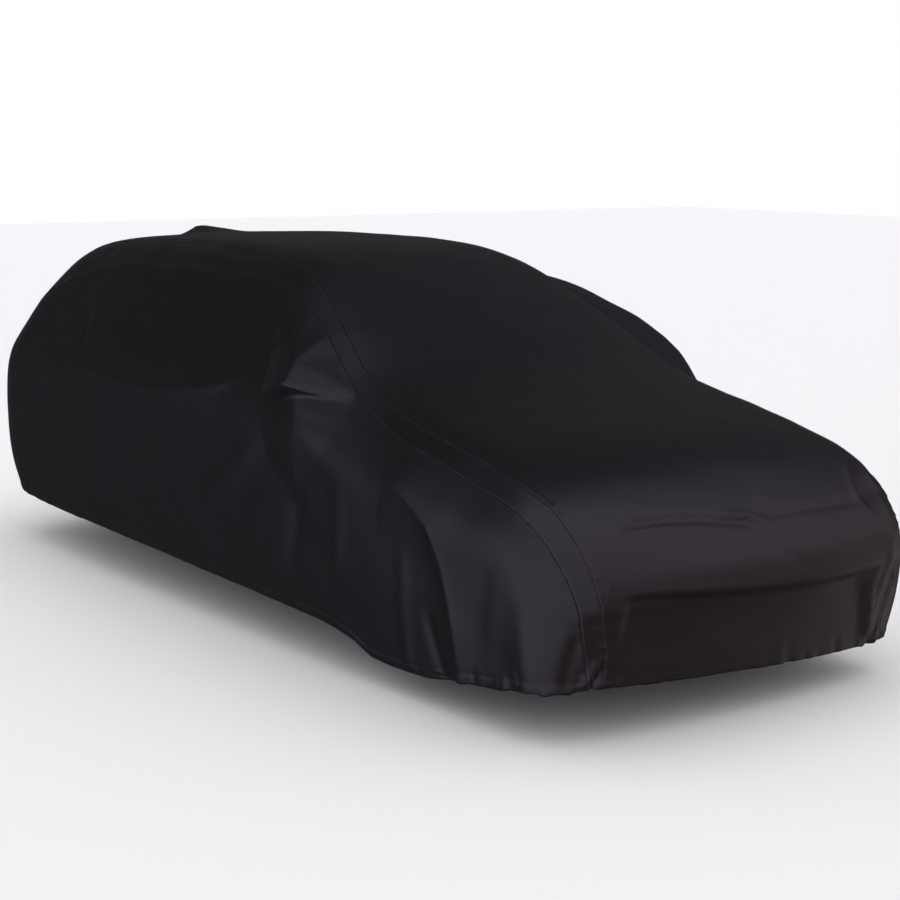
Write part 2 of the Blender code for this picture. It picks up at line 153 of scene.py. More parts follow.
# The right pocket, as flat facets between corner points
POCKET_POINTS = {  # x, height, rise
    "tip_top": (0.605, 1.085, 0.088), "tip_mid": (0.655, 1.015, 0.112), "tip_low": (0.670, 0.972, 0.034),
    "tip_under": (0.690, 0.900, 0.016), "front_top": (0.680, 1.092, 0.0), "front_mid": (0.865, 1.000, 0.0),
    "front_low": (0.890, 0.968, 0.0), "front_under": (0.950, 0.880, 0.0), "below_tip": (0.700, 0.600, 0.0),
    "below_back": (0.520, 0.700, 0.0), "back_low": (0.410, 0.930, 0.0), "back_mid": (0.350, 1.090, 0.0),
    "crown": (0.480, 1.150, 0.046), "high": (0.220, 1.270, 0.0), "seam_high": (0.420, 1.235, 0.0),
    "seam_low": (0.560, 1.175, 0.0),
}
POCKET_FACETS = (
    ("tip_top", "front_top", "front_mid"), ("tip_top", "front_mid", "tip_mid"),
    ("tip_mid", "front_mid", "front_low"), ("tip_mid", "front_low", "tip_low"),
    ("tip_low", "front_low", "front_under"), ("tip_low", "front_under", "tip_under"),
    ("tip_under", "front_under", "below_tip"), ("tip_under", "below_tip", "below_back"),
    ("tip_under", "below_back", "back_low"), ("tip_low", "tip_under", "back_low"),
    ("tip_mid", "tip_low", "back_low"), ("tip_mid", "back_low", "back_mid"),
    ("tip_top", "tip_mid", "back_mid"), ("tip_top", "back_mid", "crown"),
    ("crown", "back_mid", "high"), ("crown", "high", "seam_high"), ("crown", "seam_high", "seam_low"),
    ("tip_top", "crown", "seam_low"), ("tip_top", "seam_low", "front_top"),
)
POCKET_SOFTENING = 0.007     # how far the facets' edges are rounded

# Creases: kind, half width, height, share of the length over which each end runs out, points.
# A ridge and a trough are rounded and an edge is sharp. A flare rises to a sharp edge and falls away
# faster on the side that lies to the left of its run, seen from outside.
ARCH_RIGHT = (
    (1.24, -0.87, 0.75), (1.36, -0.86, 0.71), (1.50, -0.87, 0.63), (1.57, -0.86, 0.52),
    (1.60, -0.85, 0.41), (1.615, -0.84, 0.28), (1.615, -0.82, 0.14),
)
ARCH_LEFT = (
    (1.25, 0.87, 0.745), (1.38, 0.86, 0.70), (1.50, 0.87, 0.62), (1.57, 0.86, 0.51),
    (1.605, 0.85, 0.38), (1.615, 0.84, 0.26), (1.61, 0.82, 0.12),
)
CREASES = {
    # Front corner, right
    "arch_flare_right": ("flare", 0.240, 0.0120, 0.25, 0.0, ((1.10, -0.88, 0.74), *ARCH_RIGHT)),
    "arch_lip_right": ("edge", 0.012, 0.0015, 0.20, 0.05, ((1.17, -0.88, 0.75), *ARCH_RIGHT)),
    "arch_inner_ridge": ("ridge", 0.036, 0.0035, 0.25, 0.10, (
        (1.36, -0.88, 0.56), (1.35, -0.87, 0.36), (1.34, -0.86, 0.22), (1.33, -0.84, 0.11))),
    "arch_inner_trough": ("trough", 0.028, 0.0050, 0.45, 0.05, (
        (1.47, -0.86, 0.40), (1.50, -0.85, 0.25), (1.52, -0.84, 0.19), (1.54, -0.82, 0.12))),
    "corner_fold_back": ("trough", 0.040, 0.0009, 0.35, 0.10, (
        (1.78, -0.86, 0.60), (1.76, -0.85, 0.44), (1.73, -0.84, 0.30), (1.71, -0.82, 0.18))),
    "corner_fold_ahead": ("ridge", 0.032, 0.0011, 0.35, 0.10, (
        (1.83, -0.84, 0.62), (1.82, -0.84, 0.46), (1.79, -0.84, 0.30), (1.77, -0.82, 0.18))),
    "corner_fold_front": ("trough", 0.032, 0.0002, 0.35, 0.10, (
        (1.90, -0.81, 0.52), (1.88, -0.82, 0.40), (1.85, -0.83, 0.24))),
    "corner_fold_fore": ("ridge", 0.032, 0.0012, 0.35, 0.10, (
        (1.96, -0.78, 0.58), (1.94, -0.79, 0.42), (1.91, -0.80, 0.22))),
    "front_corner_dip_right": ("trough", 0.022, 0.0065, 0.30, 0.30, (
        (1.85, -0.79, 0.704), (1.91, -0.76, 0.706), (1.965, -0.71, 0.700), (2.01, -0.64, 0.690))),
    "strip_drag_right": ("trough", 0.020, 0.0085, 0.30, 0.10, (
        (2.05, -0.71, 0.40), (2.05, -0.73, 0.29), (2.03, -0.74, 0.19))),
    "hem_crumple_a": ("trough", 0.014, 0.0090, 0.30, 0.05, (
        (2.05, -0.66, 0.18), (2.06, -0.63, 0.225), (2.07, -0.61, 0.26))),
    "hem_crumple_b": ("ridge", 0.014, 0.0085, 0.30, 0.05, (
        (2.04, -0.70, 0.18), (2.06, -0.66, 0.235), (2.08, -0.64, 0.28))),
    # Nose
    "bonnet_front_crease": ("trough", 0.014, 0.0105, 0.10, 0.12, (
        (2.035, -0.52, 0.690), (2.045, -0.38, 0.690), (2.07, -0.21, 0.680), (2.09, -0.03, 0.655),
        (2.10, 0.05, 0.640))),
    "bonnet_front_wrinkle": ("ridge", 0.012, 0.0095, 0.35, 0.18, (
        (2.07, -0.16, 0.690), (2.08, -0.03, 0.675), (2.10, 0.07, 0.640))),
    "bonnet_front_crease_left": ("trough", 0.013, 0.0085, 0.12, 0.10, (
        (2.09, 0.04, 0.665), (2.08, 0.23, 0.662), (2.06, 0.50, 0.655), (2.04, 0.57, 0.660))),
    "nose_lip": ("edge", 0.012, 0.0030, 0.40, 0.10, (
        (2.06, -0.62, 0.30), (2.08, -0.59, 0.37), (2.11, -0.565, 0.45), (2.13, -0.52, 0.490),
        (2.15, -0.34, 0.480), (2.15, -0.18, 0.464), (2.15, -0.02, 0.451), (2.15, 0.17, 0.439),
        (2.13, 0.43, 0.433), (2.12, 0.53, 0.440))),
    "nose_corner_right": ("edge", 0.026, 0.0070, 0.15, 0.15, (
        (2.03, -0.52, 0.690), (2.08, -0.58, 0.61), (2.10, -0.62, 0.54), (2.10, -0.64, 0.45))),
    "nose_drag": ("trough", 0.020, 0.0030, 0.35, 0.35, (
        (2.14, -0.03, 0.590), (2.15, 0.11, 0.540), (2.15, 0.27, 0.460))),
    "nose_corner_left": ("ridge", 0.030, 0.0080, 0.20, 0.10, (
        (2.12, 0.51, 0.45), (2.08, 0.58, 0.30), (2.06, 0.61, 0.16))),
    "bonnet_corner_left": ("edge", 0.020, 0.0080, 0.20, 0.10, (
        (1.86, 0.65, 0.790), (1.94, 0.60, 0.750), (2.00, 0.57, 0.710), (2.05, 0.54, 0.660))),
    "bonnet_corner_pit": ("trough", 0.042, 0.0140, 0.15, 0.30, (
        (2.04, 0.57, 0.655), (2.02, 0.63, 0.670), (1.97, 0.73, 0.675))),
    # Flank, right
    "belt_right": ("edge", 0.024, 0.0100, 0.20, 0.20, (
        (-1.40, -0.86, 0.885), (-1.11, -0.87, 0.870), (-0.98, -0.87, 0.885), (-0.80, -0.88, 0.865),
        (-0.45, -0.88, 0.860), (-0.27, -0.87, 0.880), (0.00, -0.86, 0.920), (0.22, -0.84, 0.975),
        (0.36, -0.83, 1.010))),
    "rear_streak_a": ("ridge", 0.026, 0.0055, 0.30, 0.30, (
        (-1.42, -0.87, 0.860), (-1.60, -0.87, 0.690), (-1.73, -0.86, 0.530))),
    "rear_streak_b": ("ridge", 0.022, 0.0045, 0.35, 0.30, (
        (-1.60, -0.86, 0.840), (-1.74, -0.85, 0.700), (-1.84, -0.83, 0.560))),
    "rear_crease": ("trough", 0.022, 0.0040, 0.20, 0.30, (
        (-1.50, -0.64, 1.250), (-1.23, -0.77, 1.080), (-1.08, -0.87, 0.880))),
    "flank_drag_a": ("ridge", 0.050, 0.0050, 0.40, 0.40, (
        (0.52, -0.90, 0.840), (0.25, -0.89, 0.640), (-0.10, -0.88, 0.420))),
    "flank_drag_b": ("trough", 0.050, 0.0045, 0.40, 0.40, (
        (0.72, -0.90, 0.700), (0.70, -0.89, 0.500), (0.62, -0.88, 0.280))),
    "flank_drag_c": ("ridge", 0.045, 0.0040, 0.40, 0.40, (
        (0.98, -0.88, 0.800), (0.98, -0.88, 0.560), (0.93, -0.87, 0.300))),
    "roof_edge_right": ("ridge", 0.018, 0.0030, 0.30, 0.30, (
        (-0.90, -0.52, 1.400), (-0.42, -0.54, 1.390), (-0.10, -0.56, 1.370))),
    # Flank and front corner, left
    "arch_flare_left": ("flare", 0.240, 0.0120, 0.0, 0.25, (*ARCH_LEFT[::-1], (1.10, 0.88, 0.73))),
    "arch_lip_left": ("edge", 0.012, 0.0015, 0.20, 0.05, ((1.15, 0.88, 0.74), *ARCH_LEFT)),
    "belt_left": ("edge", 0.024, 0.0050, 0.20, 0.20, (
        (-1.40, 0.86, 0.880), (-1.00, 0.87, 0.872), (-0.60, 0.88, 0.868), (-0.10, 0.87, 0.895),
        (0.20, 0.85, 0.960), (0.36, 0.83, 1.010))),
    "front_corner_dip_left": ("trough", 0.024, 0.0060, 0.30, 0.30, (
        (1.66, 0.85, 0.685), (1.76, 0.82, 0.698), (1.86, 0.79, 0.700), (1.95, 0.72, 0.694))),
    "corner_fold_left": ("trough", 0.030, 0.0060, 0.35, 0.10, (
        (1.80, 0.86, 0.58), (1.77, 0.85, 0.42), (1.75, 0.83, 0.20))),
    "corner_fold_left_ahead": ("ridge", 0.030, 0.0050, 0.35, 0.10, (
        (1.88, 0.84, 0.56), (1.86, 0.84, 0.40), (1.84, 0.82, 0.20))),
    "rear_streak_left": ("ridge", 0.028, 0.0055, 0.30, 0.30, (
        (-1.40, 0.87, 0.880), (-1.58, 0.87, 0.680), (-1.72, 0.86, 0.500))),
    "rear_crease_left": ("trough", 0.024, 0.0040, 0.20, 0.30, (
        (-1.52, 0.64, 1.240), (-1.28, 0.76, 1.060), (-1.15, 0.87, 0.860))),
    "flank_drag_left_a": ("ridge", 0.050, 0.0050, 0.40, 0.40, (
        (0.50, 0.90, 0.860), (0.22, 0.89, 0.660), (-0.20, 0.88, 0.440))),
    "flank_drag_left_b": ("trough", 0.050, 0.0045, 0.40, 0.40, (
        (0.78, 0.90, 0.760), (0.80, 0.89, 0.520), (0.76, 0.88, 0.300))),
    # Tail
    "tail_shelf": ("edge", 0.030, 0.0060, 0.15, 0.15, (
        (-2.24, -0.62, 0.600), (-2.29, -0.30, 0.615), (-2.30, 0.02, 0.612), (-2.29, 0.32, 0.618),
        (-2.24, 0.62, 0.600))),
    "tail_upper_dip": ("trough", 0.035, 0.0060, 0.20, 0.20, (
        (-2.10, -0.50, 1.010), (-2.15, -0.20, 0.995), (-2.15, 0.20, 0.998), (-2.10, 0.50, 1.012))),
    "tail_top_edge": ("edge", 0.024, 0.0060, 0.15, 0.15, (
        (-1.90, -0.48, 1.345), (-1.93, -0.20, 1.360), (-1.93, 0.20, 1.360), (-1.90, 0.48, 1.345))),
    "tail_drag_right": ("ridge", 0.030, 0.0050, 0.35, 0.30, (
        (-2.05, -0.70, 1.000), (-2.14, -0.66, 0.780), (-2.18, -0.62, 0.560))),
    "tail_drag_left": ("ridge", 0.030, 0.0050, 0.35, 0.30, (
        (-2.06, 0.70, 0.960), (-2.15, 0.65, 0.760), (-2.18, 0.60, 0.520))),
    "tail_fold_low": ("trough", 0.028, 0.0045, 0.35, 0.20, (
        (-2.26, -0.24, 0.500), (-2.24, -0.30, 0.380), (-2.21, -0.33, 0.240))),
}
EDGE_ROUNDING, EDGE_FALL = 0.1414, 1.4
EDGE_END = -5.0, -2.0        # an edge runs out between these distances, in half widths
FLARE_ROUNDING = 0.02
FLARE_INNER = 1.05           # how much further a flare runs out on its inner side
LEAST_RUN_OUT = 1e-3
CREASE_NEAR = 1.5            # a crease whose middle is further than this from a panel isn't on it

# Roof-corner gathers: short ridges that run down from the inner seam
ROOF_GATHERS_X = (-1.56, -1.50, -1.43, -1.37, -1.30, -1.24, -1.17)
ROOF_GATHER_PATH = ((0.0, -0.475, 1.39), (-0.02, -0.53, 1.365), (-0.035, -0.565, 1.325))
ROOF_GATHER_HALF = 0.014
ROOF_GATHER_HEIGHT, ROOF_GATHER_UNEVEN = 0.0030, 0.0012
ROOF_GATHER_TURN = 2.3       # how fast the unevenness turns from one gather to the next
ROOF_GATHER_ENDS = 0.30, 0.40
ROOF_GATHER_LEFT_SHIFT, ROOF_GATHER_LEFT_SHARE = -0.02, 0.8

# Broad unevenness: size, seed and share of its hills
SLACK_HILLS = ((0.52, 11, 0.6), (0.23, 12, 0.3))

# Seams: groove, turned allowance and puckers. Along a seam 0 is the rear hem and 1 the front hem.
GROOVE_WIDTH = 0.0030
WELT_AT, WELT_WIDTH = 0.0080, 0.0045
PUCKER_STEP = 0.002
PUCKER_FIRST = 0.01          # length along the seam of the first pucker
PUCKER_WIDTH = 0.0075, 0.0115
PUCKER_LIFT = 0.0004, 0.0020
PUCKER_REACH = 0.010, 0.030
PUCKER_LEAST_REACH = 0.012
PUCKER_SPACING = 0.020, 0.042
PUCKER_REAR = 0.80, 0.95     # shares from the front hem between which they grow towards the rear
PUCKER_FRONT = 0.865, 0.91   # shares between which they grow towards the front
PUCKER_TIGHT = 0.35, 0.40, 2.6   # how tight they are everywhere, more at the rear, more at the front
PUCKER_FRONT_REACH = 0.5     # how much further they reach at the front

# Gathered hem, by height above it. Hills are given by their size and seed, waves with their share too.
HEM_GATHER_RISE_HILLS, HEM_WAVE_HILLS = (0.21, 23), (0.050, 24)
HEM_GATHER_WAVES = ((0.055, 21, 1.0), (0.031, 22, 0.6))
HEM_GATHER_RISE, HEM_GATHER_RISE_UNEVEN, HEM_GATHER_LEAST_RISE = 0.045, 0.030, 0.02
CASING_AT, CASING_WIDTH, CASING_SWELL = 0.012, 0.012, 0.0012
HEM_SEAM_AT, HEM_SEAM_WIDTH, HEM_SEAM_DEPTH = 0.030, 0.0035, 0.0014
HEM_WAVE, HEM_WAVE_FADE = 0.0040, 0.03
FRONT_GATHER_X, FRONT_WAVE_X = (1.50, 1.90), (1.55, 1.95)   # where the front corners' hem tightens
NOSE_GATHER_CALM, NOSE_WAVE_CALM, NOSE_LINE_CALM = 0.75, 0.80, 0.70   # how much calmer over the nose
NOSE_HEM_Y, NOSE_LINE_Y = 0.62, 0.66   # and from where, with CALM_WIDTH to turn calmer over
CALM_WIDTH = 0.10
NOSE_HEM_X = 1.90, 2.0
TAIL_HEM_X = 1.7, 2.0
TAIL_HEM_SHARE = 0.6         # how gathered the hem is over the tail
LEAST_GATHER, LEAST_WAVE = 0.10, 0.15   # and how much it is along the flanks

LEVEL = np.array([1.0, 1.0, 0.0])

# Grid of the cloth
END_ROWS = 88          # steps from a hem to its shoulder, as many at the front as at the rear
TOP_ROWS = 440         # steps between the shoulders
HEM_ROWS = 9           # of END_ROWS, those close to the hem
HEM_SHARE = 0.036      # share of the way up that they take
SHOULDERS = 15 / 66, 51 / 66          # shares of the run at which the shoulders lie
COARSE = 4             # the side panels are evened out on every fourth line
EVENING_ROUNDS = 160
CENTRE_COLUMNS = 74
STRIP_COLUMNS = 10
SEAM_LINES = 0.33, 0.66               # extra lines of a side panel, between its first two
CENTRE_SEAM_LINES = 0.0055, 0.0110    # extra lines of the centre panel, as shares of its half width
STRIP_SEAM_LINES = 1.04, 1.96         # extra lines of a strip
HEM_SEAM_OFF = 0.2                    # distance from a seam that the turned-in hem is given

# Stitches
STITCH_PITCH, STITCH_LONG, STITCH_HIGH, STITCH_SUNK = 0.0060, 0.0042, 0.00045, 0.0002
STITCH_RING = ((-1.0, 0.0), (-0.5, 0.8), (0.5, 0.8), (1.0, 0.0))
STITCH_SECTIONS = ((-0.5, 0.35), (-0.22, 1.0), (0.22, 1.0), (0.5, 0.35))
STITCH_END_ROWS = 4                   # rows of a strip that are left unstitched at each hem

SIDES = ((-1, "right"), (1, "left"))

# Camera, as the photograph was taken
CAMERA_AT = (6.786, -4.341, 0.436)
CAMERA_TURN = 144.0
CAMERA_TILT = -9.564
CAMERA_ROLL = 0.247
CAMERA_LENS = 75.43

GROUND = -1.463        # height of the floor in the part's own frame
OVERHEAD = (0.5, -1.0, 5.0), (0.4, 0.0, 0.0), (6.0, 4.0), 30.0   # softbox: place, aim, size, watts
LEAST_SQUARE = 0.05    # least square of a gradient that a move onto the form divides by
STEEPEST = 2.5         # slope that a curve may have, as a multiple of the flatter step beside it


def curve(table, at, column=1):
    """A smooth line through one column of a table, without overshoot, level past its ends."""
    knots = np.array([row[0] for row in table])
    values = np.array([row[column] for row in table])
    slope = np.gradient(values, knots)
    steps = np.diff(values) / np.diff(knots)
    for i in range(1, len(knots) - 1):
        steepest = STEEPEST * min(abs(steps[i - 1]), abs(steps[i]))
        slope[i] = np.clip(slope[i], -steepest, steepest) if steps[i - 1] * steps[i] > 0 else 0.0
    at = np.clip(at, knots[0], knots[-1])
    i = np.clip(np.searchsorted(knots, at, side="right") - 1, 0, len(knots) - 2)
    width = knots[i + 1] - knots[i]
    t = (at - knots[i]) / width
    ends = values[i] * (2 * t**3 - 3 * t**2 + 1) + values[i + 1] * (3 * t**2 - 2 * t**3)
    bends = slope[i] * (t**3 - 2 * t**2 + t) + slope[i + 1] * (t**3 - t**2)
    return ends + width * bends


def ramp(value, low, high):
    """0 below low, 1 above high, smooth between."""
    t = np.clip((value - low) / (high - low), 0.0, 1.0)
    return t * t * (3 - 2 * t)


def bell(off, width):
    """1 at no distance, falling away over about width."""
    return np.exp(-((off / width) ** 2))


def rounded_max(a, b, width):
    """The larger of two distances, with the edge between their faces rounded off."""
    near = np.maximum(width - np.abs(a - b), 0.0) / width
    return np.maximum(a, b) + near * near * width / 4


def depth(points):
    """Distance outside the fitted form, below zero inside it."""
    x, y, z = points[..., 0], np.abs(points[..., 1]), points[..., 2]
    slope = (curve(TOP, x + SLOPE_STEP) - curve(TOP, x - SLOPE_STEP)) / (2 * SLOPE_STEP)
    top = curve(TOP, x) - curve(TOP, x, 2) * (y / CROWN_AT) ** CROWN_POWER
    above = (z - top) / np.sqrt(1 + slope**2)
    drawn_in = curve(FLANK, z, 2) * ramp(-x, *TAIL_TAPER_X) + NOSE_TAPER * ramp(x, *NOSE_TAPER_X)
    beside = y - (curve(FLANK, z) - drawn_in)
    sweep = (y / CORNER_AT) ** SWEEP_POWER
    below = curve(LIP, points[..., 1]) - z
    fall = LIP_FALL * ramp(below, *LIP_STEP) * (1 - ramp(below, *LIP_RETURN)) * (1 - ramp(y, *LIP_END_Y))
    ahead = x - (curve(NOSE, z) - NOSE_SWEEP * sweep - fall)
    behind = curve(TAIL, z) + TAIL_SWEEP * sweep - x
    edge = EDGE_ROOF + (EDGE_BONNET - EDGE_ROOF) * ramp(x, *BONNET_EDGE_X)
    front = EDGE_FRONT_FOOT + (EDGE_FRONT_CORNER - EDGE_FRONT_FOOT) * ramp(z, *FRONT_EDGE_Z)
    edge = edge + (front - edge) * ramp(x, *CORNER_EDGE_X)
    rear = EDGE_REAR_CORNER + (EDGE_REAR_ROOF - EDGE_REAR_CORNER) * ramp(z, *REAR_EDGE_Z)
    edge = edge + (rear - edge) * ramp(-x, *CORNER_EDGE_X)
    lengthwise = rounded_max(above, np.maximum(ahead, behind), EDGE_TOP_ENDS)
    return rounded_max(lengthwise, beside, edge)


def outward(points, step=0.0002):
    """Gradient of depth."""
    found = np.empty_like(points)
    for axis in range(3):
        shift = np.zeros(3)
        shift[axis] = step
        found[..., axis] = (depth(points + shift) - depth(points - shift)) / (2 * step)
    return found


def unit(vectors):
    """The vectors at a length of 1."""
    return vectors / np.linalg.norm(vectors, axis=-1, keepdims=True)


def onto_form(points, rounds):
    """Moves points along the gradient until they lie on the form."""
    for _ in range(rounds):
        gradient = outward(points)
        size = np.maximum((gradient**2).sum(-1), LEAST_SQUARE)
        points = points - gradient * (depth(points) / size)[..., None]
    return points


def cast(feet, directions, furthest=1.8, halvings=26):
    """Where rays from inside leave the form, by halving the range that the place lies in."""
    near = np.zeros(feet.shape[:-1])
    far = np.full(feet.shape[:-1], furthest)
    for _ in range(halvings):
        middle = (near + far) / 2
        inside = depth(feet + directions * middle[..., None]) < 0
        near = np.where(inside, middle, near)
        far = np.where(inside, far, middle)
    return feet + directions * near[..., None]


def run_line(along, across, side):
    """One line of the long panels at places from 0, the rear hem, to 1, the front hem. across is 0 on
    the centreline, 1 on the inner seam and 2 on the outer seam."""
    rows = [(i / (len(RUN) - 1), *row) for i, row in enumerate(RUN)]
    foot_x, foot_z, angle, inner, outer = (curve(rows, along, c) for c in range(1, 6))
    y = side * (inner * across if across <= 1 else inner + (outer - inner) * (across - 1))
    foot_z = foot_z + HEM_TILT * y * ramp(along, *HEM_TILT_SHARE)
    angle = np.radians(angle)
    feet = np.stack([foot_x, y, foot_z], -1)
    return cast(feet, np.stack([np.cos(angle), 0 * angle, np.sin(angle)], -1))


def lengths(grid, axis=0):
    """Length along a line, or along each line of a grid, up to each of its points."""
    steps = np.linalg.norm(np.diff(grid, axis=axis), axis=-1)
    return np.concatenate([np.zeros_like(steps.take([0], axis)), np.cumsum(steps, axis)], axis)


def end_shares():
    """Shares of the way from a hem to its shoulder at which the rows lie, closer near the hem."""
    near = np.linspace(0.0, HEM_SHARE, HEM_ROWS + 1)
    return np.concatenate([near, np.linspace(HEM_SHARE, 1.0, END_ROWS - HEM_ROWS + 1)[1:]])


def row_places(shares, top_count, samples=1321):
    """Places along the run of rows that are evenly spaced on the outer seam between the shoulders,
    and at the given shares of the way between each hem and its shoulder."""
    places = np.linspace(0.0, 1.0, samples)
    run = lengths(run_line(places, 2.0, -1))
    rear, front = np.interp(SHOULDERS, places, run)
    wanted = np.concatenate([
        rear * shares,
        np.linspace(rear, front, top_count + 1)[1:-1],
        run[-1] - (run[-1] - front) * shares[::-1],
    ])
    return np.interp(wanted, run, places)


def hem_line(start, end, side, count):
    """The side hem from the outer seam at the rear to the outer seam at the front. It is seen from a
    line of feet between two posts, and turns round each post at its end."""
    first = math.atan2(abs(start[1]) - HEM_POST_Y, start[0] - HEM_POST_REAR)
    last = math.atan2(abs(end[1]) - HEM_POST_Y, end[0] - HEM_POST_FRONT)
    quarter = math.pi / 2
    arc_rear = (first - quarter) * HEM_REACH
    arc_front = (quarter - last) * HEM_REACH
    straight = HEM_POST_FRONT - HEM_POST_REAR
    run = np.linspace(0.0, arc_rear + straight + arc_front, count)
    turned = np.where(run < arc_rear, first - run / HEM_REACH, quarter)
    past = run - arc_rear - straight
    turned = np.where(past > 0, quarter - past / HEM_REACH, turned)
    foot_x = HEM_POST_REAR + np.clip(run - arc_rear, 0.0, straight)
    hem_x = foot_x + HEM_REACH * np.cos(turned)
    height = curve(HEM, hem_x) + HEM_TILT * side * HEM_TILT_Y * ramp(hem_x, *HEM_TILT_X)
    feet = np.stack([foot_x, np.full(count, side * HEM_POST_Y), height], -1)
    line = cast(feet, np.stack([np.cos(turned), side * np.sin(turned), 0 * turned], -1))
    line[0], line[-1] = start, end
    return line


def side_edges(seam, side, end_count):
    """The four edges of a side panel: hem, upper, rear and front, the last two from the hem up."""
    rear = seam[: end_count + 1]
    upper = seam[end_count : len(seam) - end_count]
    front = seam[len(seam) - end_count - 1 :][::-1]
    return hem_line(seam[0], seam[-1], side, len(upper)), upper, rear, front


def side_grid(fine_seam, side):
    """Grid of a side panel, hem row first, evened out on a coarse grid and then refined."""
    coarse_ends, coarse_top = END_ROWS // COARSE, TOP_ROWS // COARSE
    places = row_places(np.linspace(0.0, 1.0, coarse_ends + 1), coarse_top)
    hem, upper, rear, front = side_edges(run_line(places, 2.0, side), side, coarse_ends)
    up = np.linspace(0.0, 1.0, len(rear))[:, None, None]
    on = np.linspace(0.0, 1.0, len(upper))[None, :, None]
    grid = (1 - up) * hem + up * upper + (1 - on) * rear[:, None] + on * front[:, None]
    grid -= (1 - up) * ((1 - on) * hem[0] + on * hem[-1]) + up * ((1 - on) * upper[0] + on * upper[-1])
    for turn in range(EVENING_ROUNDS):
        around = grid[:-2, 1:-1] + grid[2:, 1:-1] + grid[1:-1, :-2] + grid[1:-1, 2:]
        grid[1:-1, 1:-1] = around / 4
        if turn % 8 == 7:
            grid[1:-1, 1:-1] = onto_form(grid[1:-1, 1:-1], 2)
    # Refine, and carry what the true edges differ by over to the lines next to them
    rows, columns = end_shares() * coarse_ends, np.arange(TOP_ROWS + 1) / COARSE
    fine = between(between(grid, rows, 0), columns, 1)
    hem, upper, rear, front = side_edges(fine_seam, side, END_ROWS)
    for edge, true, across in (
        ((0, slice(None)), hem, 0), ((-1, slice(None)), upper, 0),
        ((slice(None), 0), rear, 1), ((slice(None), -1), front, 1),
    ):
        off = true - fine[edge]
        reach = 2 * COARSE
        for k in range(reach):
            inner = list(edge)
            inner[across] = k if edge[across] == 0 else -1 - k
            fine[tuple(inner)] += off * (1 - k / reach)
    fine[1:-1, 1:-1] = onto_form(fine[1:-1, 1:-1], 4)
    return fine


def between(grid, places, axis):
    """Lines of a grid at places between its own, along one axis."""
    low = np.clip(places.astype(int), 0, grid.shape[axis] - 2)
    share = (places - low).reshape([-1 if a == axis else 1 for a in range(grid.ndim)])
    return np.take(grid, low, axis) * (1 - share) + np.take(grid, low + 1, axis) * share


def tent(along, across, name):
    """How far the cloth stands out at a point of a tent."""
    tip, level, half_along, half_across, rise, back, ahead, below, above, lean, power = TENTS[name]
    along = along + lean * np.maximum(across - level, 0.0)
    off_along = np.maximum(np.abs(along - tip) - half_along, 0.0) / np.where(along < tip, back, ahead)
    off_across = np.maximum(np.abs(across - level) - half_across, 0.0)
    off_across = off_across / np.where(across < level, below, above)
    off = np.sqrt(off_along**2 + off_across**2 + TENT_ROUNDING**2)
    return rise * np.clip(1 - off, 0.0, 1.0) ** power


def facets(x, z):
    """Rise of the right pocket: flat between its corner points, the edges slightly rounded."""
    total = np.zeros_like(x)
    offsets = ((0, 0), (1, 0), (-1, 0), (0, 1), (0, -1))
    for dx, dz in offsets:
        px, pz = x + dx * POCKET_SOFTENING, z + dz * POCKET_SOFTENING
        rise = np.zeros_like(x)
        for names in POCKET_FACETS:
            (ax, az, ah), (bx, bz, bh), (cx, cz, ch) = (POCKET_POINTS[n] for n in names)
            whole = (bx - ax) * (cz - az) - (cx - ax) * (bz - az)
            b = ((px - ax) * (cz - az) - (cx - ax) * (pz - az)) / whole
            c = ((bx - ax) * (pz - az) - (px - ax) * (bz - az)) / whole
            inside = (b >= -1e-9) & (c >= -1e-9) & (b + c <= 1 + 1e-9)
            rise = np.where(inside, ah * (1 - b - c) + bh * b + ch * c, rise)
        total += rise
    return total / len(offsets)


def arch_trough(x, z):
    """How far the cloth is drawn in inside the front arch."""
    out = np.hypot((x - ARCH_X) / ARCH_LONG, (z - ARCH_Z) / ARCH_HIGH)
    inside = np.clip((1 - out) / ARCH_WIDTH, 0.0, 1.0)
    band = inside * (1 - inside) ** 2 * 27 / 4   # 1 where it is deepest
    return ARCH_DEPTH * band * ramp(x, *ARCH_START_X)


def crease_section(kind, off, left):
    """Height of a crease at distances in half widths from its line. left is above zero on the side
    that lies to the left of its run."""
    if kind == "edge":
        away = np.hypot(off, EDGE_ROUNDING) - EDGE_ROUNDING
        return np.exp(-EDGE_FALL * away) * ramp(-off, *EDGE_END)
    if kind == "flare":
        away = np.hypot(off, FLARE_ROUNDING) - FLARE_ROUNDING
        return np.maximum(1 - away / np.where(left > 0, 1.0, FLARE_INNER), 0.0) ** 2
    return np.exp(-(off**2)) * (-1.0 if kind == "trough" else 1.0)


def crease_height(points, normals, crease):
    """How far one crease lifts the cloth at each point."""
    kind, half, height, start_out, end_out, path = crease
    path = onto_form(np.array(path, float), 4)
    run = lengths(path)
    near = np.full(points.shape[:-1], math.inf)
    share, left = np.zeros_like(near), np.zeros_like(near)
    for i in range(len(path) - 1):
        reach = path[i + 1] - path[i]
        away = points - path[i]
        held = np.clip((away @ reach) / (reach @ reach), 0.0, 1.0)
        off = away - held[..., None] * reach
        apart = np.linalg.norm(off, axis=-1)
        closer = apart < near
        near = np.where(closer, apart, near)
        share = np.where(closer, (run[i] + held * (run[i + 1] - run[i])) / run[-1], share)
        left = np.where(closer, (np.cross(normals, reach) * off).sum(-1), left)
    starts = ramp(share, 0.0, max(start_out, LEAST_RUN_OUT))
    ends = ramp(1 - share, 0.0, max(end_out, LEAST_RUN_OUT))
    return height * crease_section(kind, near / half, left) * starts * ends


